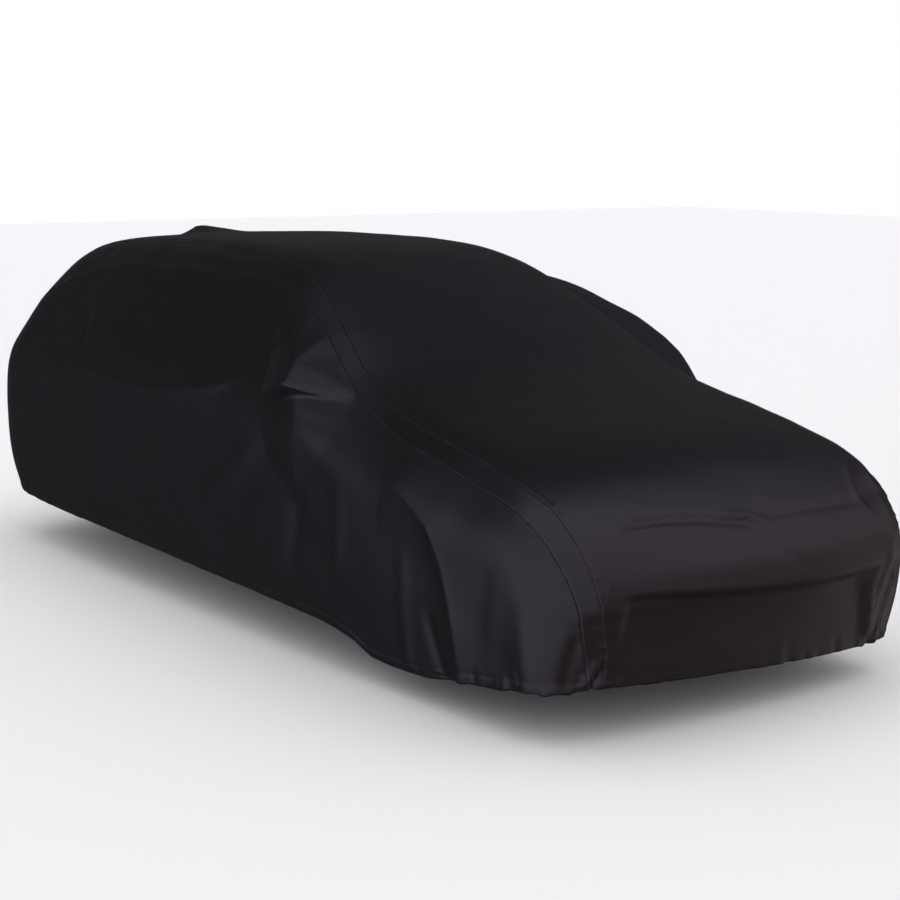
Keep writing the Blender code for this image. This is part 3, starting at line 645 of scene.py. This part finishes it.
def roof_gathers():
    """The creases of the roof-corner gathers, on both sides."""
    made = []
    for i, start in enumerate(ROOF_GATHERS_X):
        height = ROOF_GATHER_HEIGHT + ROOF_GATHER_UNEVEN * math.sin(ROOF_GATHER_TURN * i)
        right = [(start + x, y, z) for x, y, z in ROOF_GATHER_PATH]
        left = [(x + ROOF_GATHER_LEFT_SHIFT, -y, z) for x, y, z in right]
        for path, share in ((right, 1.0), (left, ROOF_GATHER_LEFT_SHARE)):
            made.append(("ridge", ROOF_GATHER_HALF, share * height, *ROOF_GATHER_ENDS, path))
    return made


def wander(points, size, seed, waves=7, highest=3.2):
    """Smooth unevenness from -1 to 1 with hills about size apart, the same on every run."""
    random = np.random.default_rng(seed)
    total = np.zeros(points.shape[:-1])
    for _ in range(waves):
        way = unit(random.normal(size=3)) * random.uniform(0.7, 1.4) * 2 * math.pi / size
        total += np.sin(points @ way + random.uniform(0, 2 * math.pi))
    return total / highest


def hills(points, sizes):
    """Several sizes of unevenness together, given as size, seed and share."""
    return sum(share * wander(points, size, seed) for size, seed, share in sizes)


def pucker_profile(total, seed):
    """Puckers along a seam: height of the cloth and reach from the seam at each step of its length."""
    random = np.random.default_rng(seed)
    at = np.arange(0.0, total, PUCKER_STEP)
    height, reach = np.zeros_like(at), np.full_like(at, PUCKER_LEAST_REACH)
    even, more_rear, more_front = PUCKER_TIGHT
    middle = PUCKER_FIRST
    while middle < total:
        share = middle / total
        front = ramp(share, *PUCKER_FRONT)
        tight = even + more_rear * ramp(1 - share, *PUCKER_REAR) + more_front * front
        near = bell(at - middle, random.uniform(*PUCKER_WIDTH))
        height += random.uniform(*PUCKER_LIFT) * tight * near
        here = near * random.uniform(*PUCKER_REACH) * (1 + PUCKER_FRONT_REACH * front)
        reach = np.maximum(reach, here)
        middle += random.uniform(*PUCKER_SPACING)
    return at, height, reach


def seam_relief(off, arc, total, seed):
    """Groove, turned allowance and puckers beside a seam, by distance from it and length along it."""
    look = bpy.context.scene.cover_folds
    at, height, reach = pucker_profile(total, seed)
    pucker = np.interp(arc, at, height) * bell(off, np.interp(arc, at, reach))
    groove = look.seam_groove * bell(off, GROOVE_WIDTH)
    welt = look.seam_welt * bell(off - WELT_AT, WELT_WIDTH)
    return welt - groove + pucker * look.pucker


def hem_slack(points, front_x, calmer, least):
    """How gathered the hem is: fully at the front corners, less by calmer across the nose, and partly
    over the tail. front_x is where that starts and where it is full, and least holds all along."""
    x, y = points[..., 0], np.abs(points[..., 1])
    front = ramp(x, *front_x) * (1 - calmer * ramp(NOSE_HEM_Y - y, 0.0, CALM_WIDTH))
    return least + (1 - least) * np.maximum(front, TAIL_HEM_SHARE * ramp(-x, *TAIL_HEM_X))


def hem_relief(points, above):
    """Gathers of the elastic hem, the casing's swell and its stitched line, by height above it."""
    look = bpy.context.scene.cover_folds
    level, y = points * LEVEL, np.abs(points[..., 1])
    tight = hem_slack(points, FRONT_GATHER_X, NOSE_GATHER_CALM, LEAST_GATHER)
    rise = HEM_GATHER_RISE + HEM_GATHER_RISE_UNEVEN * wander(level, *HEM_GATHER_RISE_HILLS)
    gather = hills(level, HEM_GATHER_WAVES) * bell(above, np.maximum(rise, HEM_GATHER_LEAST_RISE))
    over_nose = ramp(points[..., 0], *NOSE_HEM_X) * ramp(NOSE_LINE_Y - y, 0.0, CALM_WIDTH)
    plain = 1 - NOSE_LINE_CALM * over_nose
    casing = CASING_SWELL * bell(above - CASING_AT, CASING_WIDTH)
    line = HEM_SEAM_DEPTH * bell(above - HEM_SEAM_AT, HEM_SEAM_WIDTH)
    return look.gather * tight * gather + plain * (casing - line)


def dressed(points, normals, seams, above):
    """The form's points with tents, creases and reliefs added. seams is a list of distances from a
    seam, lengths along it, its whole length and a seed."""
    x, y, z = points[..., 0], points[..., 1], points[..., 2]
    look = bpy.context.scene.cover_folds
    lift = np.zeros_like(x)
    for crease in (*CREASES.values(), *roof_gathers()):
        middle = np.mean(crease[5], axis=0)
        if np.linalg.norm(points - middle, axis=-1).min() < CREASE_NEAR:
            lift += crease_height(points, normals, crease)
    lift = look.crease * lift + look.slack * hills(points, SLACK_HILLS)
    for off, arc, total, seed in seams:
        lift += seam_relief(off, arc, total, seed)
    lift += hem_relief(points, above)
    moved = points + normals * lift[..., None]
    # The flank starts at the outer seam, whose distance from the middle RUN gives between the ends
    seam = curve([(row[0], row[4]) for row in RUN if row[2] == 90.0], x)
    flank = ramp(np.abs(y) - seam, 0.0, SEAM_HOLD)
    pocket = np.where(y < 0, facets(x, z), tent(x, z, "pocket"))
    out = pocket * flank - arch_trough(x, z) * ramp(np.abs(y), *ARCH_FLANK_Y)
    moved[..., 1] += np.where(y < 0, -1.0, 1.0) * out
    moved[..., 2] += tent(x, y, "roof") * (z > ROOF_OVER)
    # The hem line itself rises and falls a little between gathers
    uneven = hem_slack(points, FRONT_WAVE_X, NOSE_WAVE_CALM, LEAST_WAVE)
    moved[..., 2] += HEM_WAVE * uneven * wander(points * LEVEL, *HEM_WAVE_HILLS) * bell(above, HEM_WAVE_FADE)
    return moved


def with_hem(grid, normals, ends):
    """Rolls the hem over and turns it in at the first and, if ends is 2, at the last row."""
    down = np.array([0.0, 0.0, -1.0])
    for _ in range(ends):
        level = unit(normals[0] * LEVEL)
        rows = []
        for swing in np.radians(HEM_SWINGS):
            rows.append(grid[0] + HEM_ROLL * (down * math.sin(swing) - level * (1 - math.cos(swing))))
        for reach in HEM_REACHES:
            rows.append(grid[0] - level * reach + down * HEM_ROLL)
        grid = np.concatenate([rows[::-1], grid])
        if ends == 2:
            grid, normals = grid[::-1], normals[::-1]
    return grid


def deselect_all():
    for other in bpy.context.selected_objects:
        other.select_set(False)


def place(grid):
    """From the tables' frame to the part's own, with its origin under the roof's cloth."""
    peak = curve(TOP, np.array([PEAK_X]))[0]
    return grid - np.array([PEAK_X, 0.0, peak - CLOTH])


def cloth_object(name, grid, flip, seam_off):
    """A panel's outer face as a mesh with a map in metres, given its thickness inwards."""
    index = np.arange(grid[..., 0].size).reshape(grid.shape[:2])
    corners = index[:-1, :-1], index[:-1, 1:], index[1:, 1:], index[1:, :-1]
    quads = np.stack(corners, -1).reshape(-1, 4)
    if flip:
        quads = quads[:, ::-1]
    mesh = bpy.data.meshes.new(name)
    mesh.from_pydata(grid.reshape(-1, 3).tolist(), [], quads.tolist())
    flat = np.stack([lengths(grid, 1), lengths(grid, 0)], -1).reshape(-1, 2)[quads.reshape(-1)]
    layer = mesh.uv_layers.new(name="cloth")
    layer.data.foreach_set("uv", flat.reshape(-1).astype(np.float32))
    near = mesh.attributes.new("seam", "FLOAT", "POINT")
    near.data.foreach_set("value", seam_off.reshape(-1).astype(np.float32))
    mesh.shade_smooth()
    made = bpy.data.objects.new(name, mesh)
    bpy.context.scene.collection.objects.link(made)
    deselect_all()
    made.select_set(True)
    bpy.context.view_layer.objects.active = made
    bpy.ops.object.modifier_add(type="SOLIDIFY")
    shell = made.modifiers[-1]
    shell.thickness = CLOTH
    shell.offset = -1.0
    bpy.ops.object.modifier_apply(modifier=shell.name)
    return made


def padded_rows(values, ends, fill):
    """Adds a value for each hem row that with_hem puts on."""
    extra = np.full((len(HEM_SWINGS) + len(HEM_REACHES), values.shape[1]), fill)
    values = np.concatenate([extra, values])
    return np.concatenate([values, extra]) if ends == 2 else values


def finish_piece(piece, node, material):
    """Gives a piece its material, hangs it on the root body and hides the solid of the node given, whose
    place it takes.
    """
    piece.data.materials.append(material)
    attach(piece, "root")
    if node:
        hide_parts(node)


def long_grid(across, side):
    """Grid of a long panel, rear hem to front hem. side is 0 where across gives it by its sign."""
    places = row_places(end_shares(), TOP_ROWS)
    return np.stack([run_line(places, abs(a), side or (-1 if a < 0 else 1)) for a in across], axis=1)


def edge_seams(grid, names):
    """The seams at the first and last column of a long panel, as dressed takes them."""
    seams = []
    for column, name in zip((0, -1), names):
        line = grid[:, column]
        run = lengths(line)
        off = np.linalg.norm(grid - line[:, None], axis=-1)
        seams.append((off, np.broadcast_to(run[:, None], off.shape), run[-1], SEAM_SEEDS[name]))
    return seams


def hem_height(grid, ends):
    """Distance up the cloth from the nearer hem."""
    up = lengths(grid)
    return np.minimum(up, up[-1] - up) if ends == 2 else up


# Seeds of the puckers, by seam, so that both panels at a seam pucker alike
SEAM_SEEDS = {("inner", -1): 31, ("inner", 1): 32, ("outer", -1): 33, ("outer", 1): 34}


def centre_shape():
    """Grid of the centre panel, closer towards its seams, and the two seams."""
    spread = np.linspace(-1.0, 1.0, CENTRE_COLUMNS + 1)
    across = np.sign(spread) * (1.30 * np.abs(spread) - 0.30 * np.abs(spread) ** 3)
    close = np.array(CENTRE_SEAM_LINES)
    grid = long_grid(np.sort(np.concatenate([across, 1 - close, close - 1])), 0)
    return grid, edge_seams(grid, (("inner", -1), ("inner", 1)))


def strip_shape(side):
    """Grid of a strip, and the seams at its two edges."""
    across = np.concatenate([np.linspace(1.0, 2.0, STRIP_COLUMNS + 1), STRIP_SEAM_LINES])
    grid = long_grid(np.sort(across), side)
    return grid, edge_seams(grid, (("inner", side), ("outer", side)))


def side_shape(side):
    """Grid of a side panel with extra lines beside its seams, and the seam that runs round it."""
    seam = run_line(row_places(end_shares(), TOP_ROWS), 2.0, side)
    grid = side_grid(seam, side)
    run = lengths(seam)
    rows, columns = (np.arange(count, dtype=float) for count in grid.shape[:2])
    extra = np.array(SEAM_LINES)
    rows = np.sort(np.concatenate([rows, rows[-1] - extra]))
    columns = np.sort(np.concatenate([columns, extra, columns[-1] - extra]))
    grid = between(between(grid, rows, 0), columns, 1)
    arc_upper = between(run[END_ROWS : len(run) - END_ROWS], columns, 0)
    arc_rear = between(run[: END_ROWS + 1], rows, 0)
    arc_front = between(run[len(run) - END_ROWS - 1 :][::-1], rows, 0)
    edges = (
        (grid[-1:], arc_upper[None]), (grid[:, :1], arc_rear[:, None]),
        (grid[:, -1:], arc_front[:, None]),
    )
    offs = np.stack([np.linalg.norm(grid - line, axis=-1) for line, _ in edges])
    arcs = np.stack([np.broadcast_to(arc, grid.shape[:2]) for _, arc in edges])
    nearest = offs.argmin(0)[None]
    off = np.take_along_axis(offs, nearest, 0)[0]
    arc = np.take_along_axis(arcs, nearest, 0)[0]
    return grid, [(off, arc, run[-1], SEAM_SEEDS["outer", side])]


def make_panel(name, shape, ends, flip):
    grid, seams = shape
    normals = unit(outward(grid))
    shaped = dressed(grid, normals, seams, hem_height(grid, ends))
    off = np.min([seam[0] for seam in seams], axis=0)
    hemmed = place(with_hem(shaped, normals, ends))
    piece = cloth_object(name + "_cloth", hemmed, flip, padded_rows(off, ends, HEM_SEAM_OFF))
    finish_piece(piece, name, satin(name + "_satin"))


# ---------------------------------------------------------------- materials

def node(tree, kind, at, values=None, **settings):
    """A new node at a place in the tree, with its settings and the values of its inputs."""
    made = tree.nodes.new(kind)
    made.location = at
    for key, value in settings.items():
        setattr(made, key, value)
    for key, value in (values or {}).items():
        made.inputs[key].default_value = value
    return made


def noise(tree, at, vector, scale, detail):
    """Smooth noise over a vector."""
    made = node(tree, "ShaderNodeTexNoise", at, {"Scale": scale, "Detail": detail})
    tree.links.new(vector, made.inputs["Vector"])
    return made.outputs["Fac"]


def blend(tree, at, share, first, second):
    """Two colours mixed by a share."""
    made = node(
        tree, "ShaderNodeMix", at, {"A": (*first, 1.0), "B": (*second, 1.0)}, data_type="RGBA")
    tree.links.new(share, made.inputs["Factor"])
    return made.outputs["Result"]


def bump(tree, at, height, strength, distance):
    """Fine relief, as a bend of the normal."""
    made = node(tree, "ShaderNodeBump", at, {"Strength": strength, "Distance": distance})
    tree.links.new(height, made.inputs["Height"])
    return made


def new_material(name, values):
    """A material whose shader has the given values, with its tree and its shader."""
    made = bpy.data.materials.new(name)
    made.use_nodes = True
    shader = made.node_tree.nodes["Principled BSDF"]
    for key, value in values.items():
        shader.inputs[key].default_value = value
    return made, made.node_tree, shader


def satin(name):
    """Stretch satin: near-black, softly uneven in colour and gloss, with a fine rib along the cloth
    and small tension wrinkles close to the seams."""
    finish = bpy.context.scene.cover_finish
    made, tree, shader = new_material(name, {
        "Specular IOR Level": finish.gloss,
        "IOR": 1.5,
        "Sheen Weight": finish.sheen,
        "Sheen Roughness": 0.35,
        "Sheen Tint": (*finish.sheen_colour, 1.0),
    })
    link = tree.links.new
    place_in = node(tree, "ShaderNodeTexCoord", (-1300, 0)).outputs["Object"]
    mottle = noise(tree, (-1000, 250), place_in, 6.0, 4.0)
    colour = blend(tree, (-700, 300), mottle, finish.deep_colour, finish.lit_colour)
    link(colour, shader.inputs["Base Color"])
    rough = node(tree, "ShaderNodeMapRange", (-700, 0), {
        "To Min": finish.roughness - 0.03, "To Max": finish.roughness + 0.03})
    link(noise(tree, (-1000, 0), place_in, 38.0, 3.0), rough.inputs["Value"])
    link(rough.outputs["Result"], shader.inputs["Roughness"])
    link(satin_wrinkles(tree, place_in, satin_rib(tree)), shader.inputs["Normal"])
    return made


def satin_rib(tree):
    """The fine rib of the weave, along the cloth."""
    cloth = node(tree, "ShaderNodeUVMap", (-1300, -350), uv_map="cloth")
    rib = node(
        tree, "ShaderNodeTexWave", (-1000, -350), {"Scale": 260.0, "Distortion": 0.6},
        wave_type="BANDS", bands_direction="X")
    tree.links.new(cloth.outputs["UV"], rib.inputs["Vector"])
    return bump(tree, (-700, -350), rib.outputs["Fac"], 0.25, 0.00012).outputs["Normal"]


def satin_wrinkles(tree, place_in, rib):
    """Small tension wrinkles over the rib, which fade with the distance from a seam."""
    near_seam = node(tree, "ShaderNodeAttribute", (-1300, -900), attribute_name="seam")
    fade = node(tree, "ShaderNodeMapRange", (-1000, -900), {
        "From Min": 0.0, "From Max": 0.035, "To Min": 1.0, "To Max": 0.06})
    tree.links.new(near_seam.outputs["Fac"], fade.inputs["Value"])
    drawn = node(tree, "ShaderNodeMath", (-800, -750), operation="MULTIPLY")
    tree.links.new(noise(tree, (-1000, -650), place_in, 62.0, 2.0), drawn.inputs[0])
    tree.links.new(fade.outputs["Result"], drawn.inputs[1])
    soft = bump(tree, (-450, -500), drawn.outputs["Value"], 0.55, 0.0022)
    tree.links.new(rib, soft.inputs["Normal"])
    return soft.outputs["Normal"]


def thread(name):
    """Dull black sewing thread with a fine twist."""
    finish = bpy.context.scene.cover_finish
    made, tree, shader = new_material(name, {"Specular IOR Level": 0.35, "Roughness": 0.60})
    place_in = node(tree, "ShaderNodeTexCoord", (-900, 0)).outputs["Object"]
    twist = noise(tree, (-650, 0), place_in, 900.0, 2.0)
    darker, lighter = ([c * share for c in finish.thread_colour] for share in (0.8, 1.25))
    tree.links.new(blend(tree, (-350, 100), twist, darker, lighter), shader.inputs["Base Color"])
    fibres = bump(tree, (-350, -250), twist, 0.4, 0.0003)
    tree.links.new(fibres.outputs["Normal"], shader.inputs["Normal"])
    return made


# ---------------------------------------------------------------- stitches

def stitch_row(line, normals):
    """Small rounded stitches along a line, as points and faces of one mesh."""
    run = lengths(line)
    middles = np.arange(STITCH_PITCH, run[-1] - STITCH_PITCH, STITCH_PITCH)

    def at(distance, values):
        return np.stack([np.interp(distance, run, values[:, k]) for k in range(3)], -1)

    centres = at(middles, line)
    half = STITCH_LONG / 2
    ahead = unit(at(middles + half, line) - at(middles - half, line))
    up = unit(at(middles, normals))
    across = unit(np.cross(ahead, up))
    points = []
    for share, thick in STITCH_SECTIONS:
        for wide, tall in STITCH_RING:
            sideways = across * STITCH_HIGH * wide * thick
            upwards = up * (STITCH_HIGH * tall * thick - STITCH_SUNK)
            points.append(centres + ahead * STITCH_LONG * share + sideways + upwards)
    points = np.stack(points, 1)
    ring = len(STITCH_RING)
    faces = [(3, 2, 1, 0), (12, 13, 14, 15)]
    for start in range(0, (len(STITCH_SECTIONS) - 1) * ring, ring):
        for k in range(ring):
            after = (k + 1) % ring
            faces.append((start + k, start + after, start + ring + after, start + ring + k))
    starts = np.arange(len(points)) * len(points[0])
    faces = np.array(faces)[None] + starts[:, None, None]
    return points.reshape(-1, 3), faces.reshape(-1, 4)


def stitches(name, rows, material):
    """Joins rows of stitches into one piece."""
    points, faces, start = [], [], 0
    for row_points, row_faces in rows:
        points.append(row_points)
        faces.append(row_faces + start)
        start += len(row_points)
    mesh = bpy.data.meshes.new(name)
    mesh.from_pydata(np.concatenate(points).tolist(), [], np.concatenate(faces).tolist())
    mesh.shade_smooth()
    piece = bpy.data.objects.new(name, mesh)
    bpy.context.scene.collection.objects.link(piece)
    finish_piece(piece, None, material)


# ---------------------------------------------------------------- settings

class FoldSettings(bpy.types.PropertyGroup):
    """Strength of the folds and seams."""
    crease: FloatProperty(
        name="Creases", description="Strength of the drawn creases", default=1.0, min=0, max=2)
    slack: FloatProperty(
        name="Slack", description="Height of the broad unevenness of the cloth",
        default=0.0022, unit="LENGTH")
    pucker: FloatProperty(
        name="Puckers", description="Strength of the seam puckers", default=1.0, min=0, max=3)
    seam_groove: FloatProperty(
        name="Seam groove", description="Depth of the line along a seam", default=0.0008, unit="LENGTH")
    seam_welt: FloatProperty(
        name="Seam allowance", description="Height of the turned allowance beside a seam",
        default=0.0011, unit="LENGTH")
    gather: FloatProperty(
        name="Hem gathers", description="Height of the gathers above the elastic hem",
        default=0.0050, unit="LENGTH")


class FinishSettings(bpy.types.PropertyGroup):
    """Colours and gloss of cloth and thread."""
    deep_colour: FloatVectorProperty(
        name="Deep colour", description="Darker tone of the cloth", subtype="COLOR",
        default=(0.0041, 0.0037, 0.0037), min=0, max=1)
    lit_colour: FloatVectorProperty(
        name="Lit colour", description="Lighter tone of the cloth", subtype="COLOR",
        default=(0.0051, 0.0046, 0.0046), min=0, max=1)
    sheen_colour: FloatVectorProperty(
        name="Sheen colour", description="Tint of the cloth's sheen", subtype="COLOR",
        default=(0.80, 0.70, 0.76), min=0, max=1)
    thread_colour: FloatVectorProperty(
        name="Thread colour", description="Colour of the sewing thread", subtype="COLOR",
        default=(0.010, 0.009, 0.011), min=0, max=1)
    roughness: FloatProperty(
        name="Roughness", description="Roughness of the satin", default=0.33, min=0, max=1)
    gloss: FloatProperty(
        name="Gloss", description="Specular level of the satin", default=0.06, min=0, max=1)
    sheen: FloatProperty(
        name="Sheen", description="Weight of the cloth's sheen", default=0.0, min=0, max=1)


class StageSettings(bpy.types.PropertyGroup):
    """Floor and light."""
    floor_colour: FloatVectorProperty(
        name="Floor colour", description="Colour of the studio floor", subtype="COLOR",
        default=(0.86, 0.86, 0.87), min=0, max=1)
    floor_size: FloatProperty(
        name="Floor", description="Length of each side of the floor", default=60.0, unit="LENGTH")
    surround: FloatProperty(
        name="Surround", description="Strength of the even studio light", default=1.0, min=0)
    gloss_lights: FloatProperty(
        name="Gloss lights", description="Strength of the lights that the satin's gloss sees",
        default=1.0, min=0)


# ---------------------------------------------------------------- operators

class COVER_OT_centre_panel(bpy.types.Operator):
    """Make the centre panel, from the rear hem over the roof to the front hem"""
    bl_idname = "cover.centre_panel"
    bl_label = "Centre panel"

    def execute(self, context):
        make_panel("centre_panel", centre_shape(), 2, True)
        return {"FINISHED"}


class COVER_OT_strips(bpy.types.Operator):
    """Make the two narrow strips between the centre panel and the side panels"""
    bl_idname = "cover.strips"
    bl_label = "Strips"

    def execute(self, context):
        for side, label in SIDES:
            make_panel("strip_" + label, strip_shape(side), 2, side > 0)
        return {"FINISHED"}


class COVER_OT_side_panels(bpy.types.Operator):
    """Make the two side panels"""
    bl_idname = "cover.side_panels"
    bl_label = "Side panels"

    def execute(self, context):
        for side, label in SIDES:
            make_panel("side_panel_" + label, side_shape(side), 1, side > 0)
        return {"FINISHED"}


class COVER_OT_stitching(bpy.types.Operator):
    """Sew the strips' seams with rows of small stitches"""
    bl_idname = "cover.stitching"
    bl_label = "Stitching"

    def execute(self, context):
        material = thread("thread")
        sewn = slice(STITCH_END_ROWS, -STITCH_END_ROWS)
        for side, label in SIDES:
            grid, seams = strip_shape(side)
            normals = unit(outward(grid))
            shaped = place(dressed(grid, normals, seams, hem_height(grid, 2)))
            rows = [stitch_row(shaped[sewn, column], normals[sewn, column]) for column in (1, -2)]
            stitches("seam_stitches_" + label, rows, material)
        return {"FINISHED"}


class COVER_OT_stage(bpy.types.Operator):
    """Lay the floor and set the light and the camera"""
    bl_idname = "cover.stage"
    bl_label = "Stage"

    def execute(self, context):
        stage = context.scene.cover_stage
        deselect_all()
        bpy.ops.mesh.primitive_plane_add(size=stage.floor_size, location=(0.0, 0.0, GROUND))
        floor = context.active_object
        floor.name = "studio_floor"
        paint, _, _ = new_material("studio_floor", {
            "Base Color": (*stage.floor_colour, 1.0), "Roughness": 0.9, "Specular IOR Level": 0.1})
        floor.data.materials.append(paint)
        floor.visible_glossy = False
        context.scene.world = studio_world(stage.surround, stage.gloss_lights)
        context.scene.view_settings.view_transform = "Standard"
        softbox("overhead", *OVERHEAD)
        camera()
        return {"FINISHED"}


# What the satin's gloss sees: wide soft lights and dark screens, by direction. Each fades in between
# two cosines of the angle from its middle; a light adds its colour and a screen multiplies by it. The
# base is added over all of them, so that no screen takes it away.
GLOSS_BASE = (0.033, 0.029, 0.025)
GLOSS_LIGHTS = (  # azimuth, elevation, cosine where it starts, cosine where it is full, colour, kind
    (-38.0, 10.0, -0.30, 0.24, (6.1, 5.6, 7.4), "light"),
    (55.0, -45.0, 0.30, 0.95, (0.26, 0.21, 0.18), "screen"),
    (42.0, 20.0, 0.50, 1.00, (0.72, 0.66, 0.62), "screen"),
    (145.0, 5.0, 0.70, 1.00, (0.035, 0.033, 0.031), "light"),
    (60.0, 45.0, 0.78, 1.00, (1.4, 1.28, 1.75), "light"),
    (68.0, -2.0, 0.80, 1.00, (1.15, 0.98, 0.96), "light"),
    (80.0, -28.0, 0.90, 1.00, (0.60, 0.52, 0.55), "light"),
    (-60.0, -88.0, 0.42, 0.86, (0.62, 0.58, 0.58), "screen"),
    (-140.0, 40.0, 0.76, 0.95, (0.38, 0.36, 0.37), "screen"),
    (115.0, 48.0, 0.80, 1.00, (0.12, 0.11, 0.15), "light"),
)


def laid_over(tree, at, kind, below, colour):
    """A light's colour added to what is seen so far, or a screen's multiplied by it."""
    made = node(
        tree, "ShaderNodeMix", at, {"Factor": 1.0, "B": (*colour, 1.0)}, data_type="RGBA",
        blend_type="ADD" if kind == "light" else "MULTIPLY", clamp_result=False)
    tree.links.new(below, made.inputs["A"])
    return made


def studio_world(even, gloss):
    """A white room for the floor and the background, and the lights and screens that the gloss sees."""
    world = bpy.data.worlds.new("studio")
    world.use_nodes = True
    world.cycles.sampling_method = "NONE"
    tree = world.node_tree
    link = tree.links.new
    towards = node(tree, "ShaderNodeTexCoord", (-1600, 0)).outputs["Generated"]
    dark = node(tree, "ShaderNodeCombineColor", (-1400, 300), {0: 0.0, 1: 0.0, 2: 0.0})
    seen = dark.outputs[0]
    for i, (azimuth, elevation, start, full, colour, kind) in enumerate(GLOSS_LIGHTS):
        turn, rise = math.radians(azimuth), math.radians(elevation)
        middle = (math.cos(rise) * math.cos(turn), math.cos(rise) * math.sin(turn), math.sin(rise))
        along = 220 * i
        near = node(
            tree, "ShaderNodeVectorMath", (along - 1400, -300), {1: middle}, operation="DOT_PRODUCT")
        link(towards, near.inputs[0])
        fade = node(
            tree, "ShaderNodeMapRange", (along - 1300, -100), {"From Min": start, "From Max": full},
            interpolation_type="SMOOTHSTEP")
        link(near.outputs["Value"], fade.inputs["Value"])
        mix = laid_over(tree, (along - 1200, 200), kind, seen, colour)
        link(fade.outputs["Result"], mix.inputs["Factor"])
        seen = mix.outputs["Result"]
    seen = laid_over(tree, (0, 0), "light", seen, GLOSS_BASE).outputs["Result"]
    room = tree.nodes["Background"]
    room.inputs["Color"].default_value = (1.0, 1.0, 1.0, 1.0)
    room.inputs["Strength"].default_value = even
    lights = node(tree, "ShaderNodeBackground", (200, 0), {"Strength": gloss})
    link(seen, lights.inputs["Color"])
    path = node(tree, "ShaderNodeLightPath", (0, 500))
    chosen = node(tree, "ShaderNodeMixShader", (450, 200))
    link(path.outputs["Is Glossy Ray"], chosen.inputs["Fac"])
    link(room.outputs["Background"], chosen.inputs[1])
    link(lights.outputs["Background"], chosen.inputs[2])
    link(chosen.outputs["Shader"], tree.nodes["World Output"].inputs["Surface"])
    return world


def softbox(name, at, aim, size, power):
    """A rectangular white area light that neither the camera nor the gloss sees."""
    light = bpy.data.lights.new(name, "AREA")
    light.shape = "RECTANGLE"
    light.size, light.size_y = size
    light.energy = power
    made = bpy.data.objects.new(name, light)
    bpy.context.scene.collection.objects.link(made)
    away = unit(np.array(at) - np.array(aim))
    right = unit(np.cross([0.0, 0.0, 1.0], away))
    made.matrix_world = frame_of(right, np.cross(away, right), away, at)
    made.visible_camera = False
    made.visible_glossy = False


def frame_of(right, above, away, at):
    """The placing of a light or camera that looks away from the third direction."""
    rows = [[right[k], above[k], away[k], at[k]] for k in range(3)]
    return Matrix([*rows, [0.0, 0.0, 0.0, 1.0]])


def camera():
    """The camera, where the photograph was taken from."""
    turn, tilt, roll = (math.radians(a) for a in (CAMERA_TURN, CAMERA_TILT, CAMERA_ROLL))
    ahead = np.array([math.cos(tilt) * math.cos(turn), math.cos(tilt) * math.sin(turn), math.sin(tilt)])
    right = np.array([math.sin(turn), -math.cos(turn), 0.0])
    above = np.cross(right, ahead)
    rolled_right = math.cos(roll) * right + math.sin(roll) * above
    rolled_above = -math.sin(roll) * right + math.cos(roll) * above
    data = bpy.data.cameras.new("camera")
    data.lens = CAMERA_LENS
    data.sensor_width = 36.0
    data.clip_end = 200.0
    made = bpy.data.objects.new("camera", data)
    bpy.context.scene.collection.objects.link(made)
    made.matrix_world = frame_of(rolled_right, rolled_above, -ahead, CAMERA_AT)
    bpy.context.scene.camera = made


class COVER_PT_pieces(bpy.types.Panel):
    """Lists the cover's pieces"""
    bl_label = "Stretch cover"
    bl_idname = "COVER_PT_pieces"
    bl_space_type = "VIEW_3D"
    bl_region_type = "UI"
    bl_category = "Cover"

    def draw(self, context):
        for group in (getattr(context.scene, name) for name in SETTINGS):
            box = self.layout.box()
            for name in group.__annotations__:
                box.prop(group, name)
        for operator in OPERATORS:
            self.layout.operator(operator.bl_idname)


SETTINGS = {
    "cover_folds": FoldSettings,
    "cover_finish": FinishSettings,
    "cover_stage": StageSettings,
}
OPERATORS = (
    COVER_OT_centre_panel, COVER_OT_strips, COVER_OT_side_panels, COVER_OT_stitching, COVER_OT_stage,
)


def register():
    for made in (*SETTINGS.values(), *OPERATORS, COVER_PT_pieces):
        bpy.utils.register_class(made)
    for name, group in SETTINGS.items():
        setattr(bpy.types.Scene, name, PointerProperty(type=group))


def unregister():
    for name in SETTINGS:
        delattr(bpy.types.Scene, name)
    for made in reversed((*SETTINGS.values(), *OPERATORS, COVER_PT_pieces)):
        bpy.utils.unregister_class(made)


def main():
    register()
    deselect_all()
    bpy.ops.cover.centre_panel()
    bpy.ops.cover.strips()
    bpy.ops.cover.side_panels()
    bpy.ops.cover.stitching()
    bpy.ops.cover.stage()


if __name__ == "__main__":
    main()
